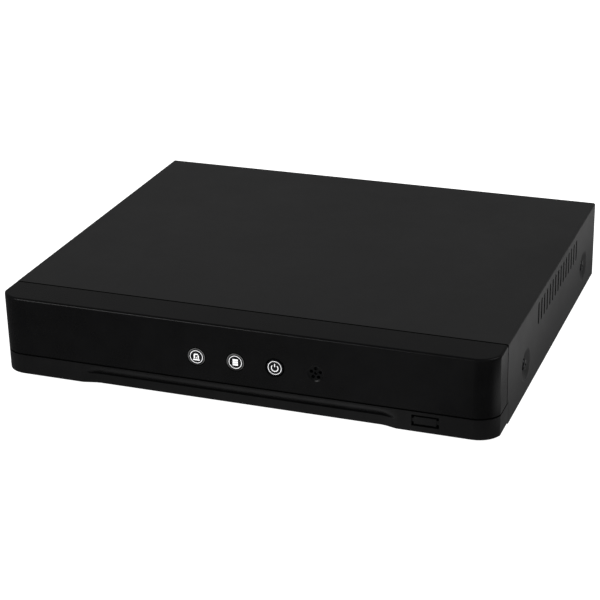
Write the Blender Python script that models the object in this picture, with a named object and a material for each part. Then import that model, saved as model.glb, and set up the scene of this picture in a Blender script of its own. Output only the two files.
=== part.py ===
"""A desktop video recorder, built as its separate pieces. Lengths are in millimetres up to add_object."""

import math

import bmesh
import bpy
from mathutils import Vector

mm = 0.001

# Case
case_width = 255.0
case_depth = 215.6
cover_height = 42.1
foot_height = 3.0
sheet = 0.8
gap = 0.3
socket_stand_out = 10.0

# Plastic front
front_depth = 20.4
front_wall = 2.0
corner_radius = 12.2
corner_inset = 11.5
seam_height = 11.5
band_bottom = 1.1
band_depth = 22.4

# Side of the cover
slot_count = 15
slot_pitch = 6.17
first_slot = 81.4
slot_low = 26.3
slot_high = 38.0
slot_width = 2.3
dish_radius = 8.0
dish_floor = 4.0
dish_depth = 2.2
dish_height = 15.3
dish_distances = (56.9, 188.0)

# Lamps, button and sounder on the front
lamp_height = 23.8
lamp_places = {"alarm": -20.8, "record": -0.6}
button_place = 19.6
buzzer_place = 40.1
lamp_radius = 4.5
button_radius = 4.3
button_travel = 0.5

# Chassis tray
tray_inset = 3.3
tray_front = 23.0
rear_recess = 1.2
side_flange_height = 22.0
tray_bottom = 0.3

# Circuit boards
board_thickness = 1.6
board_underside = 7.4
board_half_width = 112.0
board_front = 133.8
board_rear = 211.8
panel_board_face = 9.8

# Disk drive, of the standard three and a half inch size
disk_length = 147.0
disk_width = 101.6
disk_left = -118.0
disk_front = 27.8
disk_bottom = 3.4
disk_top = 29.5
spindle_from_end = 52.0
pivot_offset = (54.0, -22.8)
platter_radius = 47.5

half_width = case_width / 2
front_y = -(case_depth + socket_stand_out) / 2
rear_y = front_y + case_depth
base_z = foot_height
board_top = base_z + board_underside + board_thickness
rear_outer = rear_y - rear_recess
rear_inner = rear_outer - sheet
disk_middle = front_y + disk_front + disk_width / 2
spindle_x = disk_left + spindle_from_end
screw_places = [(side, distance) for side in (-1, 1) for distance in dish_distances]
board_screw_places = [(-106.0, 140.0), (106.0, 140.0), (-30.0, 207.0), (32.4, 207.0)]
disk_screw_places = [
    (disk_left + disk_length - from_end, side * 47.63)
    for from_end in (41.28, 85.73)
    for side in (-1, 1)
]
foot_places = [(side * 108.0, distance) for side in (-1, 1) for distance in (38.0, 198.0)]

bnc_places = (-104.0, -86.0, -68.0, -50.0)
bnc_rise = 12.0
audio_place = -16.0
audio_rises = (8.0, 22.5)
video_place = 13.0
video_rise = 7.2
hdmi_place = 44.0
usb_place = 64.0
lan_place = 84.0
power_place = 104.0

finishes = {
    "black_sheet": ((0.020, 0.020, 0.021), 0.45, 0.6),
    "zinc_sheet": ((0.55, 0.56, 0.57), 0.35, 1.0),
    "satin_black": ((0.010, 0.010, 0.011), 0.30, 0.0),
    "band_black": ((0.014, 0.014, 0.015), 0.38, 0.0),
    "lens_black": ((0.015, 0.015, 0.018), 0.12, 0.0),
    "rubber": ((0.020, 0.020, 0.020), 0.85, 0.0),
    "black_steel": ((0.030, 0.030, 0.032), 0.35, 0.9),
    "plated_steel": ((0.70, 0.70, 0.68), 0.25, 1.0),
    "board_green": ((0.020, 0.140, 0.060), 0.40, 0.0),
    "chip_black": ((0.025, 0.025, 0.027), 0.50, 0.0),
    "aluminium": ((0.75, 0.76, 0.77), 0.35, 1.0),
    "cast_aluminium": ((0.42, 0.43, 0.44), 0.55, 1.0),
    "mirror_metal": ((0.85, 0.85, 0.86), 0.05, 1.0),
    "nickel": ((0.72, 0.70, 0.66), 0.22, 1.0),
    "connector_white": ((0.75, 0.73, 0.66), 0.45, 0.0),
    "connector_black": ((0.020, 0.020, 0.020), 0.45, 0.0),
    "lamp_white": ((0.80, 0.80, 0.76), 0.25, 0.0),
    "capacitor_sleeve": ((0.030, 0.035, 0.060), 0.35, 0.0),
    "cable_red": ((0.350, 0.020, 0.015), 0.45, 0.0),
    "cable_black": ((0.020, 0.020, 0.020), 0.50, 0.0),
    "cable_grey": ((0.350, 0.350, 0.360), 0.55, 0.0),
}


def clear_scene():
    for item in list(bpy.data.objects):
        bpy.data.objects.remove(item, do_unlink=True)


def material_of(finish):
    made = bpy.data.materials.get(finish)
    if made is None:
        colour, roughness, metallic = finishes[finish]
        made = bpy.data.materials.new(finish)
        made.use_nodes = True
        shader = made.node_tree.nodes["Principled BSDF"]
        shader.inputs["Base Color"].default_value = (*colour, 1.0)
        shader.inputs["Roughness"].default_value = roughness
        shader.inputs["Metallic"].default_value = metallic
    return made


def box(low, high):
    shape = bmesh.new()
    bmesh.ops.create_cube(shape, size=1.0)
    size = Vector(high) - Vector(low)
    middle = (Vector(high) + Vector(low)) / 2
    bmesh.ops.scale(shape, vec=size, verts=shape.verts)
    bmesh.ops.translate(shape, vec=middle, verts=shape.verts)
    return shape


def prism(outline, start, end, axis):
    """An outline in the plane across the axis, extruded along it."""
    places = {
        "X": lambda a, b: (start, a, b),
        "Y": lambda a, b: (a, start, b),
        "Z": lambda a, b: (a, b, start),
    }
    shape = bmesh.new()
    face = shape.faces.new([shape.verts.new(places[axis](a, b)) for a, b in outline])
    grown = bmesh.ops.extrude_face_region(shape, geom=[face])
    moved = [part for part in grown["geom"] if isinstance(part, bmesh.types.BMVert)]
    step = Vector([end - start if name == axis else 0 for name in "XYZ"])
    bmesh.ops.translate(shape, vec=step, verts=moved)
    bmesh.ops.recalc_face_normals(shape, faces=shape.faces)
    return shape


def turned(profile, steps, direction, at=(0, 0, 0)):
    """A profile of (radius, distance) points, spun about an axis through a place."""
    shape = bmesh.new()
    corners = [shape.verts.new((radius, 0, along)) for radius, along in profile]
    edges = [shape.edges.new(pair) for pair in zip(corners, corners[1:])]
    if profile[0][0] > 0:
        edges.append(shape.edges.new((corners[-1], corners[0])))
    bmesh.ops.spin(
        shape, geom=corners + edges, cent=(0, 0, 0), axis=(0, 0, 1), angle=math.tau, steps=steps
    )
    bmesh.ops.remove_doubles(shape, verts=shape.verts, dist=1e-4)
    turn = Vector((0, 0, 1)).rotation_difference(Vector(direction))
    bmesh.ops.rotate(shape, cent=(0, 0, 0), matrix=turn.to_matrix(), verts=shape.verts)
    bmesh.ops.translate(shape, vec=at, verts=shape.verts)
    bmesh.ops.recalc_face_normals(shape, faces=shape.faces)
    return shape


def rod(radius, start, end, steps, direction, at=(0, 0, 0)):
    profile = [(0, start), (radius, start), (radius, end), (0, end)]
    return turned(profile, steps, direction, at)


def together(shapes):
    gathered = bmesh.new()
    for shape in shapes:
        part = bpy.data.meshes.new("part")
        shape.to_mesh(part)
        shape.free()
        gathered.from_mesh(part)
        bpy.data.meshes.remove(part)
    return gathered


def mesh_from(shape, name):
    bmesh.ops.scale(shape, vec=(mm, mm, mm), verts=shape.verts)
    mesh = bpy.data.meshes.new(name)
    shape.to_mesh(mesh)
    shape.free()
    return mesh


def add_object(name, shape, finish, at=(0, 0, 0), parent=None):
    """A new object from a shape or from a finished mesh; the place is in its parent's frame."""
    mesh = shape if isinstance(shape, bpy.types.Mesh) else mesh_from(shape, name)
    made = bpy.data.objects.new(name, mesh)
    bpy.context.scene.collection.objects.link(made)
    made.location = Vector(at) * mm
    made.parent = parent
    if finish and not mesh.materials:
        mesh.materials.append(material_of(finish))
    if finish:
        mesh.shade_smooth()
        mesh.set_sharp_from_angle(angle=math.radians(35))
    return made


def add_helper(name, target, shape, operation, number):
    helper = add_object(f"{name}_{number}", shape, None)
    helper.parent = target.parent
    helper.location = target.location
    helper.hide_render = True
    helper.display_type = "WIRE"
    step = target.modifiers.new(f"{name}_{number}", "BOOLEAN")
    step.operation = operation
    step.object = helper
    step.solver = "EXACT"


def cut(target, shape):
    add_helper(f"{target.name}_cut", target, shape, "DIFFERENCE", len(target.modifiers))


def join(target, shape):
    add_helper(f"{target.name}_join", target, shape, "UNION", len(target.modifiers))


def finished_mesh(item):
    """The mesh that an object's modifiers make, for pieces that share one shape."""
    bpy.context.view_layer.update()
    graph = bpy.context.evaluated_depsgraph_get()
    mesh = bpy.data.meshes.new_from_object(item.evaluated_get(graph), depsgraph=graph)
    helpers = [step.object for step in item.modifiers]
    for helper in helpers + [item]:
        bpy.data.objects.remove(helper, do_unlink=True)
    return mesh


def add_empty(name, at=(0, 0, 0), parent=None):
    made = bpy.data.objects.new(name, None)
    bpy.context.scene.collection.objects.link(made)
    made.empty_display_size = 10 * mm
    made.location = Vector(at) * mm
    made.parent = parent
    return made


def arc(middle, radius, start, end, steps):
    angles = [start + (end - start) * i / steps for i in range(steps + 1)]
    return [(middle[0] + radius * math.cos(a), middle[1] + radius * math.sin(a)) for a in angles]


def front_outline(inset, rear):
    """The front's plan: a flat face, round corners, and flat sides that run back to rear."""
    middle_x = half_width - corner_inset
    middle_y = front_y + corner_radius
    radius = corner_radius - inset
    lean = math.acos((corner_inset - inset) / radius)
    right = arc((middle_x, middle_y), radius, -math.pi / 2, -lean, 7)
    left = [(-x, y) for x, y in reversed(right)]
    side = half_width - inset
    return left + right + [(side, rear), (-side, rear)]


def make_cover(root):
    top = base_z + cover_height
    rear = rear_y
    front = front_y + front_depth + 0.15
    bend = 1.6
    outer = [(half_width, base_z)]
    outer += arc((half_width - bend, top - bend), bend, 0, math.pi / 2, 4)
    inner_side = half_width - sheet
    inner = arc((half_width - bend, top - bend), bend - sheet, math.pi / 2, 0, 2)
    inner += [(inner_side, base_z)]
    profile = outer + [(-x, z) for x, z in reversed(outer)]
    profile += [(-x, z) for x, z in reversed(inner)] + inner
    cover = add_object("top_cover", prism(profile, front, rear, "Y"), "black_sheet", parent=root)
    outside = half_width - sheet / 2
    dishes = []
    bores = []
    for side, distance in screw_places:
        at = (side * half_width, front_y + distance, base_z + dish_height)
        formed = [
            (0, sheet / 2),
            (dish_radius + sheet, sheet / 2),
            (dish_floor + sheet, dish_depth + sheet),
            (0, dish_depth + sheet),
        ]
        hollow = [
            (0, -1.0),
            (dish_radius, -1.0),
            (dish_radius, 0),
            (dish_floor, dish_depth),
            (1.8, dish_depth),
            (1.8, dish_depth + 3.0),
            (0, dish_depth + 3.0),
        ]
        dishes.append(turned(formed, 20, (-side, 0, 0), at))
        bores.append(turned(hollow, 20, (-side, 0, 0), at))
    join(cover, together(dishes))
    cut(cover, together(bores))
    slots = []
    half_slot = slot_width / 2
    for i in range(slot_count):
        y = front_y + first_slot + i * slot_pitch
        outline = arc((y, base_z + slot_high - half_slot), half_slot, 0, math.pi, 4)
        outline += arc((y, base_z + slot_low + half_slot), half_slot, math.pi, math.tau, 4)
        slots.append(prism(outline, -outside - 2, outside + 2, "X"))
    cut(cover, together(slots))
    notch_low = (-half_width - 1, front - 1, base_z - 1)
    notch_high = (half_width + 1, front_y + band_depth + gap, base_z + seam_height + 0.15)
    cut(cover, box(notch_low, notch_high))


def socket_openings():
    """Cut-outs of the rear wall, each one a closed shape that runs through it."""
    through = (rear_inner - 2, rear_outer + 2)

    def round_hole(x, rise, radius):
        return rod(radius, 0, through[1] - through[0], 20, (0, 1, 0), (x, through[0], board_top + rise))

    def square_hole(x, low, high, half):
        return box((x - half, through[0], board_top + low), (x + half, through[1], board_top + high))

    holes = [round_hole(x, bnc_rise, 6.5) for x in bnc_places]
    holes += [round_hole(audio_place, rise, 4.7) for rise in audio_rises]
    holes += [round_hole(video_place + side * 12.5, video_rise, 3.2) for side in (-1, 1)]
    holes.append(square_hole(video_place, video_rise - 4.8, video_rise + 4.8, 8.9))
    holes.append(square_hole(hdmi_place, -0.1, 6.7, 7.9))
    holes.append(square_hole(usb_place, -0.1, 16.3, 7.7))
    holes.append(square_hole(lan_place, -0.1, 14.3, 8.5))
    holes.append(square_hole(power_place, -0.1, 11.7, 5.0))
    return together(holes)


def make_chassis(root):
    side = half_width - tray_inset
    front = front_y + tray_front
    bottom = base_z + tray_bottom
    floor = bottom + sheet
    top = base_z + cover_height - sheet - gap
    tray = add_object(
        "chassis_base", box((-side, front, bottom), (side, rear_outer, top)), "zinc_sheet", parent=root
    )
    cut(tray, box((-side + sheet, front + sheet, floor), (side - sheet, rear_inner, top + 5)))
    flange_top = base_z + side_flange_height
    cut(tray, box((-side - 5, front + 5, flange_top), (side + 5, rear_inner - 5, top + 5)))
    join(tray, box((-side + 2, rear_inner - 8, top - sheet), (side - 2, rear_outer - 0.4, top)))
    posts = []
    for x, distance in board_screw_places:
        posts.append(
            rod(3.0, -0.4, board_underside - tray_bottom - sheet - gap, 12, (0, 0, 1),
                (x, front_y + distance, floor))
        )
    for x, offset in disk_screw_places:
        posts.append(
            rod(5.0, -0.4, disk_bottom - tray_bottom - sheet - gap, 16, (0, 0, 1),
                (x, disk_middle + offset, floor))
        )
    join(tray, together(posts))
    holes = [rod(1.8, 2.0, 12.0, 12, (0, 0, 1), (x, front_y + d, floor)) for x, d in board_screw_places]
    holes += [
        rod(2.05, -5.0, 12.0, 12, (0, 0, 1), (x, disk_middle + offset, floor))
        for x, offset in disk_screw_places
    ]
    holes += [
        rod(1.8, -half_width, half_width, 12, (1, 0, 0), (0, front_y + d, base_z + dish_height))
        for d in dish_distances
    ]
    cut(tray, together(holes))
    cut(tray, socket_openings())
    windows = [box((-38, front - 2, base_z + 7), (60, front + 2, base_z + 36))]
    for x in (-90, 90):
        windows.append(box((x - 4.5, front - 2, base_z + 16), (x + 4.5, front + 2, base_z + 22)))
    for x in (-60, 60):
        windows.append(box((x - 4.5, front - 2, floor + 0.2), (x + 4.5, front + 2, base_z + 5.6)))
    cut(tray, together(windows))


def hook(x, root_y, low, thick, tip_y):
    """A springy arm that runs back from the front, with a barb at its end."""
    outline = [
        (root_y, low),
        (tip_y, low),
        (tip_y, low + thick),
        (tip_y - 1.6, low + thick + 1.0),
        (tip_y - 1.6, low + thick),
        (root_y, low + thick),
    ]
    return prism(outline, x - 3, x + 3, "X")


def make_front_panel(root):
    low = base_z + seam_height + 0.15
    top = base_z + cover_height
    seam = front_y + front_depth - 0.15
    shell = prism(front_outline(0, seam), low, top, "Z")
    rim = [
        edge
        for edge in shell.edges
        if all(abs(corner.co.z - top) < 1e-3 for corner in edge.verts)
        and any(corner.co.y < seam - 1e-3 for corner in edge.verts)
    ]
    bmesh.ops.bevel(shell, geom=rim, offset=0.9, segments=2, profile=0.5, affect="EDGES")
    panel = add_object("front_panel", shell, "satin_black", parent=root)
    cut(panel, prism(front_outline(front_wall, seam + 5), low - 2, top - front_wall, "Z"))
    lip_side = half_width - sheet - gap
    lip_top = top - sheet - gap
    lip_wall = 1.3
    lip = [(lip_side, low + 1), (lip_side, lip_top), (-lip_side, lip_top), (-lip_side, low + 1)]
    inner = lip_side - lip_wall
    lip += [(-inner, low + 1), (-inner, lip_top - lip_wall), (inner, lip_top - lip_wall)]
    lip += [(inner, low + 1)]
    join(panel, prism(lip, seam - 2.5, front_y + tray_front - 0.5, "Y"))
    back = front_y + front_wall - 0.5
    arms = [hook(x, back, base_z + 18.2, 1.2, front_y + 26.5) for x in (-90, 90)]
    for x in (-30.5, 54.5):
        at = (x, back, base_z + lamp_height)
        post = [(0, 0), (2.3, 0), (2.3, 7.9), (1.2, 7.9), (1.2, 11.2), (0, 11.2)]
        arms.append(turned(post, 10, (0, 1, 0), at))
    join(panel, together(arms))
    openings = [
        rod(lamp_radius + gap, -2, 5, 24, (0, 1, 0), (x, front_y, base_z + lamp_height))
        for x in lamp_places.values()
    ]
    openings.append(
        rod(button_radius + 0.4, -2, 5, 24, (0, 1, 0), (button_place, front_y, base_z + lamp_height))
    )
    dimple = [(0, -1), (4.1, -1), (3.9, 0), (3.3, 0.6), (0, 0.6)]
    centre = (buzzer_place, front_y, base_z + lamp_height)
    openings.append(turned(dimple, 20, (0, 1, 0), centre))
    cut(panel, together(openings))
    sound = [(0, 0)] + [
        (2.4 * math.sin(math.tau * i / 5), 2.4 * math.cos(math.tau * i / 5)) for i in range(5)
    ]
    cut(
        panel,
        together(
            rod(0.63, -1, 5, 8, (0, 1, 0), (centre[0] + x, front_y, centre[2] + z)) for x, z in sound
        ),
    )


def scoop():
    """The long set-back under the front: a leaning face down to a crease, then an upright lip."""
    depth = 2.6
    crease = base_z + 6.4
    top = base_z + 11.1
    stations = [(-86.5, -0.3), (-73.0, depth), (72.0, depth), (82.5, -0.3)]
    shape = bmesh.new()
    rings = []
    for x, deep in stations:
        level = crease if deep > 0 else base_z + 6.0
        outline = [
            (front_y - 2, top + 0.6),
            (front_y - 0.1, top),
            (front_y + deep, level),
            (front_y + deep, base_z - 1),
            (front_y - 2, base_z - 1),
        ]
        rings.append([shape.verts.new((x, y, z)) for y, z in outline])
    for first, second in zip(rings, rings[1:]):
        count = len(first)
        for i in range(count):
            j = (i + 1) % count
            shape.faces.new((first[i], first[j], second[j], second[i]))
    shape.faces.new(rings[0])
    shape.faces.new(rings[-1])
    bmesh.ops.triangulate(shape, faces=shape.faces)
    bmesh.ops.recalc_face_normals(shape, faces=shape.faces)
    return shape


def make_lower_band(root):
    low = base_z + band_bottom
    top = base_z + seam_height - 0.15
    rear = front_y + band_depth
    band = add_object(
        "lower_band", prism(front_outline(0, rear), low, top, "Z"), "band_black", parent=root
    )
    cut(band, prism(front_outline(front_wall + 2.2, rear + 5), low + 1.5, top + 2, "Z"))
    cut(band, scoop())
    usb = (87.1, 100.4, base_z + 4.1, base_z + 9.8)
    cut(band, box((usb[0], front_y - 2, usb[2]), (usb[1], front_y + 5, usb[3])))
    plate = (88.1, 99.1, base_z + 5.0, base_z + 8.8)
    bridge = (base_z + 6.0, base_z + 7.9)
    blank = [
        (plate[0], plate[2]),
        (plate[1], plate[2]),
        (plate[1], bridge[0]),
        (usb[1] + 0.6, bridge[0]),
        (usb[1] + 0.6, bridge[1]),
        (plate[1], bridge[1]),
        (plate[1], plate[3]),
        (plate[0], plate[3]),
        (plate[0], bridge[1]),
        (usb[0] - 0.6, bridge[1]),
        (usb[0] - 0.6, bridge[0]),
        (plate[0], bridge[0]),
    ]
    join(band, prism(blank, front_y + 0.35, front_y + 1.7, "Y"))
    join(
        band,
        together(hook(x, front_y + 8, low + 1.0, 1.2, front_y + 25.5) for x in (-60, 60)),
    )


def make_front_controls(root):
    height = base_z + lamp_height
    for name, x in lamp_places.items():
        pipe = [(0, 0.1), (lamp_radius, 0.1), (lamp_radius, front_wall + gap)]
        pipe += [(5.6, front_wall + gap), (5.6, front_wall + 1.4), (2.6, front_wall + 1.4)]
        pipe += [(2.6, panel_board_face - 2.4 - gap), (0, panel_board_face - 2.4 - gap)]
        add_object(
            f"{name}_indicator", turned(pipe, 24, (0, 1, 0)), "lens_black", (x, front_y, height), root
        )
    stem_end = 5.6
    cap = [(0, 0.0), (button_radius - 0.3, 0.0), (button_radius, 0.3)]
    cap += [(button_radius, front_wall + gap), (5.4, front_wall + gap), (5.4, front_wall + 1.3)]
    cap += [(2.0, front_wall + 1.3), (2.0, stem_end), (0, stem_end)]
    add_object(
        "power_button", turned(cap, 24, (0, 1, 0)), "lens_black", (button_place, front_y, height), root
    )
    face = panel_board_face - gap
    plunger = [(0, stem_end + gap), (1.7, stem_end + gap), (1.7, 7.2), (0, 7.2)]
    add_object(
        "switch_plunger", turned(plunger, 16, (0, 1, 0)), "connector_black",
        (button_place, front_y, height), root,
    )
    housing = add_object(
        "power_switch", box((-3.1, 6.5, -3.1), (3.1, face, 3.1)), "chip_black",
        (button_place, front_y, height), root,
    )
    cut(housing, rod(2.1, 5.5, 7.2 + button_travel + gap, 16, (0, 1, 0)))


def make_front_board(root):
    face = front_y + panel_board_face
    height = base_z + lamp_height
    board = add_object(
        "front_board", box((-34, face, base_z + 14), (58, face + 1.6, base_z + 34)), "board_green",
        parent=root,
    )
    holes = [rod(1.6, -3, 5, 10, (0, 1, 0), (x, face, height)) for x in (-30.5, 54.5)]
    cut(board, together(holes))
    buzzer = [(0, 3.7), (1.0, 3.7), (1.0, 3.2), (5.5, 3.2), (6.0, 3.7)]
    buzzer += [(6.0, panel_board_face - gap), (0, panel_board_face - gap)]
    add_object(
        "buzzer", turned(buzzer, 20, (0, 1, 0)), "chip_black", (buzzer_place, front_y, height), root
    )
    lamps = dict(lamp_places, power=button_place + 6.2)
    for name, x in lamps.items():
        low = (-1.75, panel_board_face - gap - 2.0, -1.4)
        high = (1.75, panel_board_face - gap, 1.4)
        add_object(f"{name}_led", box(low, high), "lamp_white", (x, front_y, height), root)


def screw_mesh(head_radius, head_height, shank_radius, length, name):
    """A pan-head screw along -Z, its head's underside at the origin, with a cross recess."""
    profile = [
        (0, head_height),
        (head_radius * 0.55, head_height),
        (head_radius * 0.9, head_height * 0.72),
        (head_radius, head_height * 0.3),
        (head_radius, 0),
        (shank_radius, 0),
        (shank_radius, -length + 0.5),
        (shank_radius - 0.5, -length),
        (0, -length),
    ]
    body = add_object(name, turned(profile, 14, (0, 0, 1)), None)
    arm = head_radius * 0.5
    slim = 0.4
    cross = [(arm, slim), (slim, slim), (slim, arm), (-slim, arm), (-slim, slim), (-arm, slim)]
    cross += [(-x, -z) for x, z in cross]
    cut(body, prism(cross, head_height * 0.35, head_height + 1, "Z"))
    return finished_mesh(body)


def add_screw(name, mesh, finish, at, direction, parent):
    made = add_object(name, mesh, finish, at, parent)
    turn = Vector((0, 0, 1)).rotation_difference(Vector(direction))
    made.rotation_euler = turn.to_euler()
    return made


def make_fasteners(root):
    side_mesh = screw_mesh(2.9, 1.7, 1.5, 5.0, "side_screw")
    for number, (side, distance) in enumerate(screw_places, 1):
        x = side * (half_width - dish_depth + gap)
        at = (x, front_y + distance, base_z + dish_height)
        add_screw(f"side_screw_{number}", side_mesh, "black_steel", at, (side, 0, 0), root)
    board_mesh = screw_mesh(2.8, 1.6, 1.5, 6.0, "board_screw")
    for number, (x, distance) in enumerate(board_screw_places, 1):
        at = (x, front_y + distance, board_top + gap)
        add_screw(f"board_screw_{number}", board_mesh, "plated_steel", at, (0, 0, 1), root)
    disk_mesh = screw_mesh(3.2, 1.4, 1.75, 7.0, "disk_screw")
    for number, (x, offset) in enumerate(disk_screw_places, 1):
        at = (x, disk_middle + offset, base_z + tray_bottom - gap)
        add_screw(f"disk_screw_{number}", disk_mesh, "plated_steel", at, (0, 0, -1), root)


def make_feet(root):
    top = base_z + tray_bottom - gap
    profile = [(0, 0), (6.0, 0), (7.0, 1.0), (7.0, top), (0, top)]
    mesh = mesh_from(turned(profile, 24, (0, 0, 1)), "foot")
    for number, (x, distance) in enumerate(foot_places, 1):
        add_object(f"foot_{number}", mesh, "rubber", (x, front_y + distance, 0), root)


def make_mainboard(root):
    low = (-board_half_width, front_y + board_front, board_top - board_thickness)
    high = (board_half_width, front_y + board_rear, board_top)
    board = add_object("mainboard", box(low, high), "board_green", parent=root)
    holes = [
        rod(1.8, -5, 5, 12, (0, 0, 1), (x, front_y + distance, board_top))
        for x, distance in board_screw_places
    ]
    cut(board, together(holes))
    middle = front_y + 170.0
    seat = board_top + gap
    chip_height = 2.0
    add_object(
        "main_chip", box((-11.5, -11.5, 0), (11.5, 11.5, chip_height)), "chip_black",
        (-12, middle, seat), root,
    )
    add_object(
        "memory_chip", box((-6.5, -4.5, 0), (6.5, 4.5, 1.2)), "chip_black", (20, middle, seat), root
    )
    fin_count = 9
    fin_pitch = 4.75
    comb = [(-20, 0), (20, 0)]
    for i in range(fin_count):
        right = 20 - i * fin_pitch
        comb += [(right, 12.0), (right - 2.0, 12.0)]
        if i < fin_count - 1:
            comb += [(right - 2.0, 3.0), (right - fin_pitch, 3.0)]
    add_object(
        "heat_sink", prism(comb, -20, 20, "Y"), "aluminium",
        (-12, middle, seat + chip_height + gap), root,
    )
    cell_at = (-66, front_y + 152.0, seat)
    holder = [(0, 0), (12.0, 0), (12.0, 4.0), (10.4, 4.0), (10.4, 1.0), (0, 1.0)]
    add_object("cell_holder", turned(holder, 20, (0, 0, 1)), "connector_black", cell_at, root)
    cell = [(0, 1.3), (10.0, 1.3), (10.0, 4.1), (9.2, 4.5), (0, 4.5)]
    add_object("coin_cell", turned(cell, 20, (0, 0, 1)), "plated_steel", cell_at, root)
    can = [(0, 0), (3.7, 0), (4.0, 0.6), (4.0, 1.6), (3.7, 2.0), (4.0, 2.4), (4.0, 11.0)]
    can += [(3.6, 11.5), (0, 11.5)]
    can_mesh = mesh_from(turned(can, 16, (0, 0, 1)), "capacitor")
    for number, x in enumerate((92.0, 103.0), 1):
        at = (x, front_y + 172.0, seat)
        add_object(f"capacitor_{number}", can_mesh, "capacitor_sleeve", at, root)


def bnc_mesh():
    """A bayonet socket: a block on the board, a collar, a sleeve with two lugs and a core."""
    end = rear_y + socket_stand_out - rear_inner
    block = box((-7.2, -15.0, gap - bnc_rise), (7.2, -0.6, 7.2))
    body = add_object("bnc", block, None)
    sleeve = [
        (0, -2.0),
        (6.0, -2.0),
        (6.0, sheet + 1.0),
        (4.83, sheet + 1.0),
        (4.83, end),
        (4.06, end),
        (4.06, end - 8.5),
        (2.35, end - 8.5),
        (2.35, end - 1.6),
        (0.75, end - 1.6),
        (0.75, end - 6.0),
        (0, end - 6.0),
    ]
    join(body, turned(sleeve, 20, (0, 1, 0)))
    lugs = [rod(0.95, 4.4, 5.5, 8, (0, 0, side), (0, end - 4.4, 0)) for side in (-1, 1)]
    join(body, together(lugs))
    return finished_mesh(body)


def make_audio_sockets(root):
    end = sheet + 8.5
    body = add_object(
        "audio_sockets", box((-5.4, -14, gap), (5.4, -0.6, 29.0)), "connector_black",
        (audio_place, rear_inner, board_top), root,
    )
    barrel = [(0, -2), (4.15, -2), (4.15, end), (3.6, end), (3.6, end - 1.0), (1.65, end - 1.0)]
    barrel += [(1.65, end - 8.0), (0, end - 8.0)]
    join(body, together(turned(barrel, 20, (0, 1, 0), (0, 0, rise)) for rise in audio_rises))


def make_video_socket(root):
    body = add_object(
        "video_socket", box((-15.4, -9.0, -6.3), (15.4, -0.4, 6.3)), "connector_black",
        (video_place, rear_inner, board_top + video_rise), root,
    )
    shell = [(-8.3, 4.1), (8.3, 4.1), (7.1, -4.1), (-7.1, -4.1)]
    join(body, prism(shell, -2, sheet + 5.7, "Y"))
    nuts = []
    for side in (-1, 1):
        at = (side * 12.5, 0, 0)
        nut = [(0, -2), (2.77, -2), (2.77, sheet + 4.6), (1.4, sheet + 4.6)]
        nut += [(1.4, sheet + 0.6), (0, sheet + 0.6)]
        nuts.append(turned(nut, 6, (0, 1, 0), at))
    join(body, together(nuts))
    pins = []
    for row in (-1, 0, 1):
        for column in range(5):
            x = (column - 2) * 2.29 + row * 0.6
            pins.append(rod(0.5, sheet + 2.5, sheet + 7, 6, (0, 1, 0), (x, 0, row * 2.0)))
    cut(body, together(pins))


def shell_socket(name, finish, x, half, height, depth, mouths, tongues, root):
    """A box-shaped socket that just passes the rear wall, with mouths and the tongues in them."""
    end = sheet + 0.5
    body = add_object(
        name, box((-half, -depth, gap), (half, end, height)), finish, (x, rear_inner, board_top), root
    )
    hollows = [box((-h, end - d, low), (h, end + 2, high)) for h, low, high, d in mouths]
    cut(body, together(hollows))
    if tongues:
        join(body, together(box((-h, end - d, low), (h, end - 1.0, high)) for h, low, high, d in tongues))
    return body


def make_sockets(root):
    mesh = bnc_mesh()
    for number, x in enumerate(bnc_places, 1):
        at = (x, rear_inner, board_top + bnc_rise)
        add_object(f"bnc_socket_{number}", mesh, "nickel", at, root)
    make_audio_sockets(root)
    make_video_socket(root)
    shell_socket(
        "hdmi_socket", "nickel", hdmi_place, 7.5, 6.3, 10.5, [(7.0, 0.8, 5.8, 9.0)],
        [(5.6, 2.5, 3.7, 9.6)], root,
    )
    shell_socket(
        "usb_sockets", "nickel", usb_place, 7.3, 15.9, 16.0,
        [(6.6, 1.4, 6.6, 12.0), (6.6, 9.2, 14.4, 12.0)],
        [(5.6, 4.2, 6.0, 12.6), (5.6, 12.0, 13.8, 12.6)], root,
    )
    shell_socket(
        "lan_socket", "nickel", lan_place, 8.1, 13.9, 20.0, [(5.95, 3.4, 12.4, 13.0)], [], root
    )
    jack = shell_socket(
        "power_socket", "connector_black", power_place, 4.6, 11.3, 13.0, [(2.2, 9.6, 10.4, 1.0)], [], root
    )
    ring = [(3.15, -9), (3.15, 4), (1.05, 4), (1.05, -9)]
    cut(jack, turned(ring, 20, (0, 1, 0), (0, 0, 5.6)))
    cut(jack, rod(1.6, 0.3, 4, 12, (0, 1, 0), (0, 0, 5.6)))


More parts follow.
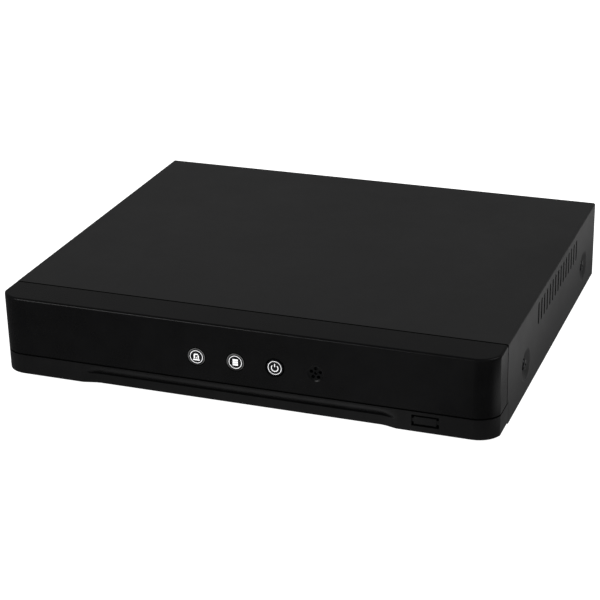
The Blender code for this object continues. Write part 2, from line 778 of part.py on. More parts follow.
def make_disk(root):
    """The drive lies flat with its connector end to the right; its frame is the spindle."""
    frame = add_empty("disk_frame", (spindle_x, disk_middle, base_z), root)
    left = disk_left - spindle_x
    right = left + disk_length
    half = disk_width / 2
    lid_bottom = disk_top - 1.7
    casting = box((left, -half, disk_bottom), (right, half, lid_bottom - gap))
    body = add_object("disk_base", casting, "cast_aluminium", parent=frame)
    cavity_floor = 8.4
    roof = disk_top + 3
    cut(body, rod(platter_radius + 1.7, cavity_floor, roof, 36, (0, 0, 1)))
    cut(body, box((18, -half + 5, cavity_floor), (right - 14, half - 5, roof)))
    board_recess = 2.6
    cut(body, box((left + 38, -half + 8, 0), (right + 2, half - 8, disk_bottom + board_recess)))
    cut(body, box((right - 12.5, -4.8, 0), (right + 2, 37.8, disk_bottom + 8)))
    pivot = (pivot_offset[0], pivot_offset[1], 0)
    join(
        body,
        together(
            [
                rod(2.6, cavity_floor - 1, 21.0, 12, (0, 0, 1)),
                rod(2.6, cavity_floor - 1, 21.0, 12, (0, 0, 1), pivot),
            ]
        ),
    )
    threads = [
        rod(2.05, -2, disk_bottom + 4.6, 12, (0, 0, 1), (x - spindle_x, offset, 0))
        for x, offset in disk_screw_places
    ]
    cut(body, together(threads))
    lid = prism([(left, -half), (right, -half), (right, half), (left, half)], lid_bottom, disk_top, "Z")
    add_object("disk_lid", lid, "plated_steel", parent=frame)
    circuit = add_object(
        "disk_board",
        box((left + 40, -half + 10, disk_bottom + 0.8), (right - 9.5, half - 10, disk_bottom + 2.0)),
        "board_green",
        parent=frame,
    )
    join(circuit, box((right - 12, -4.2, disk_bottom + 0.6), (right - 0.2, 37.2, disk_bottom + 6.6)))
    hub = [
        (3.1, 8.9),
        (12.0, 8.9),
        (12.5, 11.0),
        (platter_radius, 11.0),
        (platter_radius, 12.27),
        (12.5, 12.27),
        (12.5, 17.6),
        (platter_radius, 17.6),
        (platter_radius, 18.87),
        (15.0, 18.87),
        (15.0, 20.6),
        (3.1, 20.6),
    ]
    add_object("disk_platters", turned(hub, 40, (0, 0, 1)), "mirror_metal", parent=frame)
    make_disk_arm(frame)


def make_disk_arm(frame):
    """Head arms between the platters, drawn with the heads parked clear of the rim."""
    reach = 50.0
    parked = math.radians(103)
    heading = Vector((math.cos(parked), math.sin(parked)))
    across = Vector((-heading.y, heading.x))

    def plan(points):
        return [tuple(heading * along + across * aside) for along, aside in points]

    blade = plan([(0, -6), (reach - 6, -1.8), (reach, -1.2), (reach, 1.2), (reach - 6, 1.8), (0, 6)])
    tail = plan([(0, -6), (-20, -9), (-21.5, 0), (-20, 9), (0, 6)])
    arm = add_object(
        "disk_arm", rod(6.5, 9.2, 20.8, 20, (0, 0, 1)), "aluminium",
        (pivot_offset[0], pivot_offset[1], 0), frame,
    )
    blades = [prism(blade, low, low + 1.0, "Z") for low in (9.2, 14.4, 19.7)]
    join(arm, together(blades + [prism(tail, 16.2, 18.4, "Z")]))
    cut(arm, rod(3.0, 0, 30, 12, (0, 0, 1)))


def smooth_route(points, count):
    """Points along a smooth curve through the given ones, about evenly spaced in its parameter."""
    places = [Vector(point) for point in points]
    padded = [places[0] * 2 - places[1]] + places + [places[-1] * 2 - places[-2]]
    found = []
    for i in range(count):
        along = (len(places) - 1) * i / (count - 1)
        first = min(int(along), len(places) - 2)
        t = along - first
        a, b, c, d = padded[first : first + 4]
        found.append(
            0.5 * (2 * b + (c - a) * t + (2 * a - 5 * b + 4 * c - d) * t**2
                   + (3 * b - a - 3 * c + d) * t**3)
        )
    return found


def add_cable(name, finish, points, radius, root):
    curve = bpy.data.curves.new(name, "CURVE")
    curve.dimensions = "3D"
    curve.bevel_depth = radius * mm
    curve.bevel_resolution = 2
    curve.use_fill_caps = True
    route = smooth_route(points, 26)
    line = curve.splines.new("POLY")
    line.points.add(len(route) - 1)
    for point, place in zip(line.points, route):
        point.co = (*(place * mm), 1.0)
    made = bpy.data.objects.new(name, curve)
    bpy.context.scene.collection.objects.link(made)
    made.parent = root
    curve.materials.append(material_of(finish))


def make_cables(root):
    end = disk_left + disk_length
    plug_at = (end + gap, disk_middle, base_z + disk_bottom)
    add_object("disk_plug", box((0, -4.2, 0.4), (11.5, 37.2, 7.2)), "connector_black", plug_at, root)
    exit_x = end + gap + 11.5 + gap
    wire_z = base_z + disk_bottom + 3.8
    data_y = disk_middle + 4
    feed_y = disk_middle + 24
    data_at = (80.0, front_y + 144.0, board_top + gap)
    feed_at = (62.0, front_y + 146.0, board_top + gap)
    add_object("data_plug", box((-7.0, -3.2, 0), (7.0, 3.2, 9.0)), "connector_black", data_at, root)
    add_object("power_plug", box((-5.5, -3.2, 0), (5.5, 3.2, 9.0)), "connector_white", feed_at, root)
    top = board_top + gap + 9.0 + gap
    add_cable(
        "data_cable", "cable_red",
        [
            (exit_x, data_y, wire_z),
            (exit_x + 9, data_y + 0.5, wire_z + 0.6),
            (exit_x + 24, data_y + 10, wire_z + 8),
            (data_at[0] - 4, data_at[1] - 30, wire_z + 17),
            (data_at[0], data_at[1] - 7, top + 9),
            (data_at[0], data_at[1], top + 6),
            (data_at[0], data_at[1], top),
        ],
        2.2, root,
    )
    add_cable(
        "power_cable", "cable_black",
        [
            (exit_x, feed_y, wire_z),
            (exit_x + 6, feed_y + 0.5, wire_z + 0.5),
            (exit_x + 16, feed_y + 8, wire_z + 8),
            (feed_at[0] - 1, feed_at[1] - 24, wire_z + 17),
            (feed_at[0], feed_at[1] - 6, top + 9),
            (feed_at[0], feed_at[1], top + 5.5),
            (feed_at[0], feed_at[1], top),
        ],
        2.0, root,
    )
    ribbon_x = 44.0
    ribbon_half = 4.0
    plug_y = front_y + 148.0
    add_object(
        "front_plug", box((-5.5, -3.0, 0), (5.5, 3.0, 7.0)), "connector_white",
        (ribbon_x, plug_y, board_top + gap), root,
    )
    start_y = front_y + panel_board_face + board_thickness + gap
    low_end = board_top + gap + 7.0 + gap
    run = base_z + 30.0
    centre = [(start_y, base_z + 24.0), (start_y + 6, base_z + 24.3)]
    centre += [(start_y + 26, run), (plug_y - 22, run)]
    centre += arc((plug_y - 7, run - 7), 7, math.radians(80), 0, 5)
    centre += [(plug_y, low_end)]
    thick = 0.5
    upper = []
    lower = []
    for i, (y, z) in enumerate(centre):
        before = centre[max(i - 1, 0)]
        after = centre[min(i + 1, len(centre) - 1)]
        along = Vector((after[0] - before[0], after[1] - before[1])).normalized()
        upper.append((y - along.y * thick, z + along.x * thick))
        lower.append((y + along.y * thick, z - along.x * thick))
    outline = upper + lower[::-1]
    add_object(
        "front_cable", prism(outline, ribbon_x - ribbon_half, ribbon_x + ribbon_half, "X"),
        "cable_grey", parent=root,
    )


def main():
    clear_scene()
    root = add_empty("recorder")
    make_cover(root)
    make_chassis(root)
    make_front_panel(root)
    make_lower_band(root)
    make_front_controls(root)
    make_front_board(root)
    make_fasteners(root)
    make_feet(root)
    make_mainboard(root)
    make_sockets(root)
    make_disk(root)
    make_cables(root)


main()
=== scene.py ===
import math

import bpy
from mathutils import Matrix, Vector


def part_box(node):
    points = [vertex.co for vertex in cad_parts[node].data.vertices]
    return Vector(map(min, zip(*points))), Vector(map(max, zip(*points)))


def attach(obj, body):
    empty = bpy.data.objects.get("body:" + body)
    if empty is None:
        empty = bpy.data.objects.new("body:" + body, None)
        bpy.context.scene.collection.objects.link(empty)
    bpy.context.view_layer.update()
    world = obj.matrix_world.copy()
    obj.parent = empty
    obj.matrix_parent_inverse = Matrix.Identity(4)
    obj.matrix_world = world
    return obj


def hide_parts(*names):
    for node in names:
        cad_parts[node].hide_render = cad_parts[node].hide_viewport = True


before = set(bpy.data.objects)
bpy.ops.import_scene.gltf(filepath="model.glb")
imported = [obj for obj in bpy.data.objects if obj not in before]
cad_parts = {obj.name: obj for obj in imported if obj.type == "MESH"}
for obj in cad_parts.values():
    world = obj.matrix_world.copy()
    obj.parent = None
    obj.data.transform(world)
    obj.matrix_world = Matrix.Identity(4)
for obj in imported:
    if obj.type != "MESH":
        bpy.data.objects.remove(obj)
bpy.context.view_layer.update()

mm = 0.001
print("frame loaded:", len(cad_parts), "nodes")


# ---- shader tools

class Signal:
    # one socket, which can be added, multiplied and so on
    def __init__(self, finish, socket):
        self.finish = finish
        self.socket = socket

    def maths(self, operation, first, second):
        return self.finish.node("ShaderNodeMath", {"operation": operation}, {0: first, 1: second})

    def __add__(self, other):
        return self.maths("ADD", self, other)

    def __rsub__(self, other):
        return self.maths("SUBTRACT", other, self)

    def __mul__(self, other):
        return self.maths("MULTIPLY", self, other)


class Finish:
    def __init__(self, name, fixed):
        self.material = bpy.data.materials.new(name)
        self.material.use_nodes = True
        self.tree = self.material.node_tree
        self.shader = self.tree.nodes["Principled BSDF"]
        for socket, value in fixed.items():
            self.shader.inputs[socket].default_value = value
        self.place = self.node("ShaderNodeTexCoord", output="Object")

    def node(self, kind, settings=None, sockets=None, output=0):
        made = self.tree.nodes.new(kind)
        for key, value in (settings or {}).items():
            if key == "stops":
                ramp = made.color_ramp
                while len(ramp.elements) < len(value):
                    ramp.elements.new(1.0)
                for element, (place, level) in zip(ramp.elements, value):
                    element.position = place
                    element.color = (level, level, level, 1)
            else:
                setattr(made, key, value)
        for key, value in (sockets or {}).items():
            if isinstance(value, Signal):
                self.tree.links.new(value.socket, made.inputs[key])
            else:
                made.inputs[key].default_value = value
        return Signal(self, made.outputs[output])

    def feed(self, socket, value):
        self.tree.links.new(value.socket, self.shader.inputs[socket])

    def stretched(self, scale):
        return self.node("ShaderNodeMapping", {}, {"Vector": self.place, "Scale": scale})

    def grain(self, scale, detail=4.0, rough=0.55, vector=None):
        sockets = {"Vector": vector or self.place, "Scale": scale, "Detail": detail, "Roughness": rough}
        return self.node("ShaderNodeTexNoise", {}, sockets)

    def ramp(self, signal, low, high, start=0.0, end=1.0):
        sockets = {"Value": signal, "From Min": low, "From Max": high, "To Min": start, "To Max": end}
        return self.node("ShaderNodeMapRange", {"clamp": True}, sockets)

    def mix(self, factor, first, second):
        sockets = {0: factor, 6: first, 7: second}
        return self.node("ShaderNodeMix", {"data_type": "RGBA"}, sockets, output=2)

    def bump(self, height, distance):
        sockets = {"Height": height, "Distance": distance, "Strength": 1.0}
        return self.node("ShaderNodeBump", {}, sockets)


def rgb(level, tint=(1.0, 1.0, 1.0)):
    return (level * tint[0], level * tint[1], level * tint[2], 1.0)


# what a user would change about each plain finish: colour, roughness, metal, specular,
# size of its grain per metre, depth of the grain in mm, and how much the colour wanders
finishes = {
    "satinFront": ((0.0036, 0.0036, 0.0038), 0.25, 0.0, 0.105, 2600, 0.012, 0.18),
    "bandBlack": ((0.0052, 0.0052, 0.0054), 0.34, 0.0, 0.17, 2200, 0.016, 0.18),
    # painted shade: a near-black finish put where shade falls, on the cover's front edge in the seam and on
    # the slot walls
    "paintedShade": ((0.0022, 0.0022, 0.0022), 0.60, 0.0, 0.05, 2600, 0.030, 0.30),
    "smokedLens": ((0.0050, 0.0050, 0.0060), 0.10, 0.0, 0.35, 1800, 0.003, 0.10),
    "blackNylon": ((0.0150, 0.0150, 0.0155), 0.46, 0.0, 0.40, 1500, 0.020, 0.25),
    "whiteNylon": ((0.7000, 0.6800, 0.5900), 0.48, 0.0, 0.45, 1300, 0.020, 0.10),
    "blueNylon": ((0.0200, 0.0700, 0.3200), 0.46, 0.0, 0.45, 1300, 0.020, 0.12),
    "redNylon": ((0.4200, 0.0200, 0.0160), 0.44, 0.0, 0.45, 1300, 0.020, 0.12),
    "footRubber": ((0.0160, 0.0160, 0.0160), 0.88, 0.0, 0.30, 1700, 0.050, 0.35),
    "chipEpoxy": ((0.0220, 0.0220, 0.0240), 0.58, 0.0, 0.35, 3000, 0.025, 0.20),
    "lampResin": ((0.7800, 0.7800, 0.7200), 0.22, 0.0, 0.50, 900, 0.006, 0.08),
    "sleeveBlue": ((0.0200, 0.0280, 0.0700), 0.34, 0.0, 0.45, 1200, 0.015, 0.20),
    "redJacket": ((0.3300, 0.0180, 0.0130), 0.48, 0.0, 0.40, 1500, 0.030, 0.15),
    "blackJacket": ((0.0180, 0.0180, 0.0190), 0.52, 0.0, 0.40, 1500, 0.030, 0.25),
    "goldPlate": ((0.8300, 0.5800, 0.2200), 0.22, 1.0, 0.50, 2400, 0.004, 0.12),
    "nickelPlate": ((0.6800, 0.6600, 0.6200), 0.24, 1.0, 0.50, 1800, 0.006, 0.14),
    "brightSteel": ((0.6200, 0.6200, 0.6000), 0.28, 1.0, 0.50, 1600, 0.008, 0.16),
    "blackZinc": ((0.0300, 0.0300, 0.0320), 0.25, 1.0, 0.50, 2200, 0.012, 0.30),
    "platterMirror": ((0.8000, 0.8000, 0.8200), 0.06, 1.0, 0.50, 300, 0.001, 0.04),
    "castMetal": ((0.3600, 0.3700, 0.3800), 0.55, 1.0, 0.50, 1500, 0.060, 0.25),
    "amberLamp": ((0.6000, 0.3000, 0.0300), 0.25, 0.0, 0.50, 900, 0.010, 0.12),
    "greenLamp": ((0.0900, 0.4200, 0.0700), 0.25, 0.0, 0.50, 900, 0.010, 0.12),
}


def plainFinish(name):
    colour, roughness, metallic, specular, size, depth, wander = finishes[name]
    made = Finish(name, {"Metallic": metallic, "Specular IOR Level": specular})
    broad = made.grain(size * 0.03, 5.0, 0.6)
    fine = made.grain(size, 3.0, 0.5)
    dark = rgb(1 - wander, colour)
    light = rgb(1 + wander, colour)
    made.feed("Base Color", made.mix(made.ramp(broad, 0.3, 0.7), dark, light))
    smudge = made.grain(size * 0.012, 6.0, 0.65)
    made.feed("Roughness", made.ramp(smudge + fine * 0.25, 0.4, 0.85, roughness * 0.88, roughness * 1.14))
    made.feed("Normal", made.bump(fine, depth * mm))
    return made.material


coverCoat = {
    "colour": (0.0115, 0.0115, 0.0118),
    "specular": 0.33,
    "roughness": 0.46,
    "grainPerMetre": 2300,
    "grainDepth": 0.035,
}


def powderCoat():
    # baked powder on sheet steel: a fine orange peel, faint clouding and a few paler specks
    made = Finish("powderCoat", {"Specular IOR Level": coverCoat["specular"], "Metallic": 0.0})
    peel = made.grain(coverCoat["grainPerMetre"], 2.0, 0.45)
    pits = made.node("ShaderNodeTexVoronoi", {}, {"Vector": made.place, "Scale": 1500.0})
    cloud = made.ramp(made.grain(26, 6.0, 0.62), 0.32, 0.7)
    tone = made.mix(cloud, rgb(0.9, coverCoat["colour"]), rgb(1.1, coverCoat["colour"]))
    speck = made.ramp(made.grain(5200, 1.0, 0.5), 0.72, 0.8, 0.0, 0.25)
    made.feed("Base Color", made.mix(speck, tone, rgb(0.03)))
    smudge = made.grain(14, 7.0, 0.66)
    level = coverCoat["roughness"]
    made.feed("Roughness", made.ramp(smudge + peel * 0.2, 0.42, 0.8, level * 0.92, level * 1.1))
    height = peel + pits * 0.5
    made.feed("Normal", made.bump(height, coverCoat["grainDepth"] * mm))
    return made.material


def zincSheet():
    # hot-dipped sheet: large flat crystals of slightly different tone, with rolling lines
    made = Finish("zincSheet", {"Metallic": 1.0})
    flake = made.node(
        "ShaderNodeTexVoronoi", {}, {"Vector": made.place, "Scale": 240.0}, output="Color"
    )
    level = made.node("ShaderNodeSeparateColor", {}, {"Color": flake})
    lines = made.grain(60, 3.0, 0.5, made.stretched((1.0, 30.0, 30.0)))
    made.feed("Base Color", made.mix(level, (0.47, 0.48, 0.49, 1), (0.58, 0.59, 0.60, 1)))
    made.feed("Roughness", made.ramp(level + lines * 0.5, 0.2, 1.2, 0.36, 0.44))
    made.feed("Normal", made.bump(lines + level * 0.3, 0.01 * mm))
    return made.material


def drawnAluminium():
    made = Finish("drawnAluminium", {"Metallic": 1.0})
    lines = made.grain(220, 4.0, 0.6, made.stretched((30.0, 1.0, 30.0)))
    band = made.ramp(lines, 0.3, 0.7)
    made.feed("Base Color", made.mix(band, (0.62, 0.63, 0.64, 1), (0.74, 0.75, 0.76, 1)))
    made.feed("Roughness", made.ramp(lines, 0.3, 0.7, 0.28, 0.42))
    made.feed("Normal", made.bump(lines, 0.01 * mm))
    return made.material


def solderMask():
    # green lacquer over etched tracks: the tracks stand a little proud and read lighter
    made = Finish("solderMask", {"Specular IOR Level": 0.5})
    cells = made.node(
        "ShaderNodeTexVoronoi", {"distance": "CHEBYCHEV", "feature": "F1"},
        {"Vector": made.place, "Scale": 210.0, "Randomness": 0.75},
    )
    tracks = made.ramp(cells, 0.30, 0.34)
    runs = made.node(
        "ShaderNodeTexWave", {"wave_type": "BANDS", "bands_direction": "X", "wave_profile": "SAW"},
        {"Vector": made.place, "Scale": 95.0, "Distortion": 0.0},
    )
    copper = made.ramp(runs, 0.55, 0.6) * (1 - tracks)
    made.feed("Base Color", made.mix(copper, (0.006, 0.055, 0.022, 1), (0.018, 0.125, 0.050, 1)))
    made.feed("Roughness", made.ramp(made.grain(80, 4.0), 0.3, 0.7, 0.28, 0.42))
    made.feed("Normal", made.bump(copper + made.grain(900) * 0.2, 0.03 * mm))
    return made.material


def ribbonGrey():
    # six cores side by side, one of them striped red
    made = Finish("ribbonGrey", {"Specular IOR Level": 0.4})
    across = made.node("ShaderNodeSeparateXYZ", {}, {"Vector": made.place})
    cores = made.node(
        "ShaderNodeTexWave", {"wave_type": "BANDS", "bands_direction": "X", "wave_profile": "SIN"},
        {"Vector": made.place, "Scale": 250.0, "Distortion": 0.0},
    )
    edge = made.ramp(across, 0.0466, 0.0468)
    grey = made.mix(made.grain(300), (0.26, 0.26, 0.27, 1), (0.34, 0.34, 0.35, 1))
    made.feed("Base Color", made.mix(edge, grey, (0.40, 0.02, 0.02, 1)))
    made.feed("Roughness", made.ramp(made.grain(200), 0.3, 0.7, 0.42, 0.56))
    made.feed("Normal", made.bump(cores, 0.25 * mm))
    return made.material


def printedWhite():
    # screen ink, lit a little from behind
    made = Finish("printedWhite", {"Emission Strength": 0.46, "Roughness": 0.5})
    cover = made.ramp(made.grain(2200, 4.0), 0.2, 0.6)
    made.feed("Base Color", made.mix(cover, (0.74, 0.74, 0.74, 1), (0.86, 0.86, 0.86, 1)))
    made.feed("Emission Color", made.mix(cover, (0.80, 0.82, 0.84, 1), (0.95, 0.96, 0.98, 1)))
    made.feed("Normal", made.bump(made.grain(5200), 0.004 * mm))
    return made.material


def paintedGlow():
    # painted light: a grey glow painted beside the lens's ring, lit at the top and dying out to dark towards
    # the bottom
    made = Finish("paintedGlow", {"Emission Strength": 0.5, "Roughness": 0.35})
    split = made.node("ShaderNodeSeparateXYZ", {}, {"Vector": made.place}, output="Z")
    fade = made.ramp(split + made.grain(900) * 0.0006, lampZ - 3.6 * mm, lampZ - 0.6 * mm)
    made.feed("Base Color", made.mix(fade, rgb(0.004), rgb(0.06)))
    made.feed("Emission Color", made.mix(fade, rgb(0.0), rgb(0.09)))
    made.feed("Normal", made.bump(made.grain(5200), 0.004 * mm))
    return made.material


def paleFloor():
    made = Finish("paleFloor", {"Roughness": 0.9, "Specular IOR Level": 0.1, "Emission Strength": 1.0})
    made.feed("Base Color", made.mix(made.grain(3, 3.0), (0.84, 0.84, 0.84, 1), (0.87, 0.87, 0.87, 1)))
    made.feed("Emission Color", made.mix(made.grain(3, 3.0), (0.99, 0.99, 0.99, 1), (1, 1, 1, 1)))
    return made.material


specialFinishes = {
    "powderCoat": powderCoat,
    "zincSheet": zincSheet,
    "drawnAluminium": drawnAluminium,
    "solderMask": solderMask,
    "ribbonGrey": ribbonGrey,
    "printedWhite": printedWhite,
    "paintedGlow": paintedGlow,
    "paleFloor": paleFloor,
}
madeFinishes = {}


def finishOf(name):
    if name not in madeFinishes:
        madeFinishes[name] = specialFinishes[name]() if name in specialFinishes else plainFinish(name)
    return madeFinishes[name]


# ---- modelling tools

def pick(item):
    bpy.ops.object.select_all(action="DESELECT")
    item.select_set(True)
    bpy.context.view_layer.objects.active = item


def editAll():
    # edit mode, with everything in the active mesh selected
    bpy.ops.object.mode_set(mode="EDIT")
    bpy.ops.mesh.select_all(action="SELECT")


def leaveEdit():
    bpy.ops.object.mode_set(mode="OBJECT")


def settled():
    # the active object's place, turn and scale go into its mesh
    bpy.ops.object.transform_apply(location=True, rotation=True, scale=True)


def facedOut():
    editAll()
    bpy.ops.mesh.normals_make_consistent(inside=False)
    leaveEdit()


def roundEdges(width, segments):
    # rounds the selected edges, in mm, and leaves edit mode
    bpy.ops.mesh.bevel(
        offset=width * mm, offset_type="OFFSET", segments=segments, profile=0.5, affect="EDGES"
    )
    leaveEdit()


def named(name):
    item = bpy.context.active_object
    item.name = name
    item.data.name = name
    settled()
    return item


def addBlock(name, low, high):
    size = Vector(high) - Vector(low)
    middle = (Vector(high) + Vector(low)) / 2
    bpy.ops.mesh.primitive_cube_add(size=1, location=middle, scale=size)
    return named(name)


def blockFrom(origin, name, low, high):
    # both corners in mm from the origin
    ends = [[start + step * mm for start, step in zip(origin, corner)] for corner in (low, high)]
    return addBlock(name, *ends)


def addTurned(name, rings, sides, place=(0, 0, 0), direction=(0, 0, 1)):
    # rings of (radius, height) in mm, each drawn out of the one before
    radius, height = rings[0]
    bpy.ops.mesh.primitive_circle_add(
        vertices=sides, radius=radius * mm, fill_type="NGON", location=(0, 0, height * mm)
    )
    item = named(name)
    editAll()
    for nextRadius, nextHeight in rings[1:]:
        step = {"value": (0, 0, (nextHeight - height) * mm)}
        bpy.ops.mesh.extrude_region_move(TRANSFORM_OT_translate=step)
        share = nextRadius / radius
        bpy.ops.transform.resize(value=(share, share, 1), center_override=(0, 0, nextHeight * mm))
        radius, height = nextRadius, nextHeight
    bpy.ops.mesh.select_all(action="SELECT")
    bpy.ops.mesh.remove_doubles(threshold=1e-6)
    bpy.ops.mesh.normals_make_consistent(inside=False)
    leaveEdit()
    turn = Vector((0, 0, 1)).rotation_difference(Vector(direction))
    item.matrix_world = Matrix.Translation(place) @ turn.to_matrix().to_4x4()
    settled()
    return item


def joined(items, name):
    pick(items[0])
    for item in items[1:]:
        item.select_set(True)
    if len(items) > 1:
        bpy.ops.object.join()
    items[0].name = name
    items[0].data.name = name
    return items[0]


def shaped(item, tool, operation="DIFFERENCE"):
    pick(item)
    step = item.modifiers.new("shape", "BOOLEAN")
    step.operation = operation
    step.solver = "EXACT"
    step.object = tool
    bpy.ops.object.modifier_apply(modifier=step.name)
    bpy.data.objects.remove(tool, do_unlink=True)


def softened(item, width, segments=2, angle=38):
    # small rounds on every edge that a mould or a press leaves, with even shading across flats
    pick(item)
    if width:
        step = item.modifiers.new("round", "BEVEL")
        step.width = width * mm
        step.segments = segments
        step.limit_method = "ANGLE"
        step.angle_limit = math.radians(30)
        step.use_clamp_overlap = True
        bpy.ops.object.modifier_apply(modifier=step.name)
    bpy.ops.object.shade_smooth_by_angle(angle=math.radians(angle))
    step = item.modifiers.new("even", "WEIGHTED_NORMAL")
    step.keep_sharp = True
    bpy.ops.object.modifier_apply(modifier=step.name)


def copied(item, name, move):
    twin = item.copy()
    twin.data = item.data.copy()
    twin.name = name
    twin.data.name = name
    bpy.context.scene.collection.objects.link(twin)
    pick(twin)
    twin.location = move
    settled()
    return twin


def mirroredX(item, name):
    twin = copied(item, name, (0, 0, 0))
    twin.scale = (-1, 1, 1)
    settled()
    facedOut()
    return twin


def dressed(item, finish, body, nodes=()):
    item.data.materials.clear()
    item.data.materials.append(finishOf(finish))
    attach(item, body)
    if nodes:
        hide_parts(*nodes)
    return item


def turnedPiece(name, rings, sides, place, finish):
    # a round piece of the case that needs no more than even shading
    item = addTurned(name, rings, sides, place, rearwards)
    softened(item, 0, 1)
    return dressed(item, finish, "case")


def middleOf(node):
    low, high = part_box(node)
    return (Vector(low) + Vector(high)) / 2


def selectEdges(item, wanted):
    # in edit mode on leaving, with only the edges that pass the test selected
    pick(item)
    bpy.ops.object.mode_set(mode="EDIT")
    bpy.ops.mesh.select_mode(type="EDGE")
    bpy.ops.mesh.select_all(action="DESELECT")
    leaveEdit()
    corners = item.data.vertices
    for edge in item.data.edges:
        edge.select = wanted(corners[edge.vertices[0]].co, corners[edge.vertices[1]].co)
    bpy.ops.object.mode_set(mode="EDIT")


panelLow, panelHigh = [Vector(corner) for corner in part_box("front_panel")]
coverLow, coverHigh = [Vector(corner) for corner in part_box("top_cover")]
bandLow, bandHigh = [Vector(corner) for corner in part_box("lower_band")]
frontY = panelLow.y
halfWidth = coverHigh.x
topZ = coverHigh.z
baseZ = coverLow.z
lampZ = middleOf("alarm_indicator").z
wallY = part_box("chassis_base")[1][1]
frontFoot = (0, frontY, baseZ)
rearwards = (0, 1, 0)


# ---- front shells

frontShape = {
    "cornerRadius": 12.2,
    "cornerInset": 11.5,
    "topRound": 1.3,
    "wall": 2.0,
    "seamBack": 19.5,
    "seamRebate": (0.5, 1.5),
    "lipInset": 1.1,
    "lipWall": 1.3,
    "lipBack": 22.5,
    "lensBore": 4.75,
    "lensChamfer": 0.35,
    "hookPlaces": (-90, 90),
    "postPlaces": (-30.5, 54.5),
    "dimple": [(4.15, -1.0), (4.15, 0.0), (3.95, 0.12), (3.6, 0.35), (3.1, 0.5), (1.5, 0.55)],
    "buzzerHole": 0.82,
    "buzzerCircle": 2.32,
    "buzzerRing": 5,
}


def roundedBlock(name, inset, lowZ, highZ, rearY):
    # a block whose front corners are arcs, trimmed where the arcs pass the flat sides
    radius = frontShape["cornerRadius"] - inset
    reach = halfWidth - frontShape["cornerInset"] * mm + radius * mm
    block = addBlock(name, (-reach, frontY + inset * mm, lowZ), (reach, rearY, highZ))
    selectEdges(block, lambda a, b: abs(a.z - b.z) > 1e-5 and max(a.y, b.y) < frontY + (inset + 1) * mm)
    roundEdges(radius, 20)
    for side in (-1, 1):
        editAll()
        bpy.ops.mesh.bisect(
            plane_co=(side * (halfWidth - inset * mm), 0, 0), plane_no=(side, 0, 0),
            use_fill=True, clear_outer=True, threshold=1e-6,
        )
        leaveEdit()
    return block


def frontPanel():
    low, top = panelLow.z, panelHigh.z
    seam = frontY + frontShape["seamBack"] * mm
    panel = roundedBlock("frontPanel", 0, low, top, seam)
    selectEdges(panel, lambda a, b: min(a.z, b.z) > top - 1e-5 and min(a.y, b.y) < seam - 1e-5)
    roundEdges(frontShape["topRound"], 5)
    wall = frontShape["wall"]
    shaped(panel, roundedBlock("hollow", wall, low - 2 * mm, top - wall * mm, seam + 5 * mm))
    rear = panelHigh.y
    outer = halfWidth - frontShape["lipInset"] * mm
    inner = outer - frontShape["lipWall"] * mm
    lip = addBlock(
        "lip", (-outer, seam - 2.5 * mm, low + 1 * mm),
        (outer, frontY + frontShape["lipBack"] * mm, top - 1.35 * mm),
    )
    inside = addBlock(
        "inside", (-inner, seam - 5 * mm, low - 1 * mm), (inner, rear + 1 * mm, top - 2.4 * mm)
    )
    shaped(lip, inside)
    shaped(panel, lip, "UNION")
    rebateHeight, rebateDepth = frontShape["seamRebate"]
    groove = roundedBlock("groove", -1.0, low - 1 * mm, low + rebateHeight * mm, seam + 5 * mm)
    shaped(groove, roundedBlock("core", rebateDepth, low - 2 * mm, low + 2 * mm, seam + 6 * mm))
    shaped(panel, groove)
    radius, chamfer = frontShape["lensBore"], frontShape["lensChamfer"]
    for node in ("alarm_indicator", "record_indicator", "power_button"):
        centre = middleOf(node)
        rings = [(radius + chamfer, -1.0), (radius + chamfer, 0.0), (radius, chamfer), (radius, 4.0)]
        shaped(panel, addTurned("bore", rings, 48, (centre.x, frontY, lampZ), rearwards))
    centre = middleOf("buzzer")
    shaped(panel, addTurned("dimple", frontShape["dimple"], 48, (centre.x, frontY, lampZ), rearwards))
    circle = frontShape["buzzerCircle"] * mm
    turns = [math.tau * i / frontShape["buzzerRing"] for i in range(frontShape["buzzerRing"])]
    spots = [(0, 0)] + [(circle * math.sin(turn), circle * math.cos(turn)) for turn in turns]
    hole = frontShape["buzzerHole"]
    drills = []
    for x, z in spots:
        rings = [(hole + 0.2, -1.0), (hole + 0.2, 0.45), (hole, 0.65), (hole, 4.0)]
        drills.append(addTurned("drill", rings, 20, (centre.x + x, frontY, lampZ + z), rearwards))
    shaped(panel, joined(drills, "drills"))
    arms = []
    for x in frontShape["hookPlaces"]:
        left, right = (x - 3) * mm, (x + 3) * mm
        arms.append(addBlock(
            "arm", (left, frontY + 1.5 * mm, baseZ + 18.2 * mm), (right, rear, baseZ + 19.4 * mm)
        ))
        arms.append(addBlock(
            "barb", (left, rear - 1.6 * mm, baseZ + 19.0 * mm),
            (right, rear - 0.2 * mm, baseZ + 20.3 * mm),
        ))
    for x in frontShape["postPlaces"]:
        rings = [(2.3, 0), (2.3, 7.9), (1.2, 7.9), (1.2, 11.0)]
        arms.append(addTurned("post", rings, 20, (x * mm, frontY + 1.5 * mm, lampZ), rearwards))
    for arm in arms:
        shaped(panel, arm, "UNION")
    softened(panel, 0.12, 2)
    return dressed(panel, "satinFront", "case", ["front_panel"])


bandShape = {
    "wall": 4.2,
    "shellBack": 22.4,
    "scoopDepth": 2.5,
    "creaseHeight": 6.5,
    "scoopTop": 11.0,
    "scoopLeft": -79.5,
    "scoopRight": 77.5,
    "taper": 13.0,
    "usbLow": (87.1, 4.1),
    "usbHigh": (100.4, 9.8),
    "plateLow": (88.15, 5.0),
    "plateHigh": (99.1, 8.75),
    "hookPlaces": (-60, 60),
}


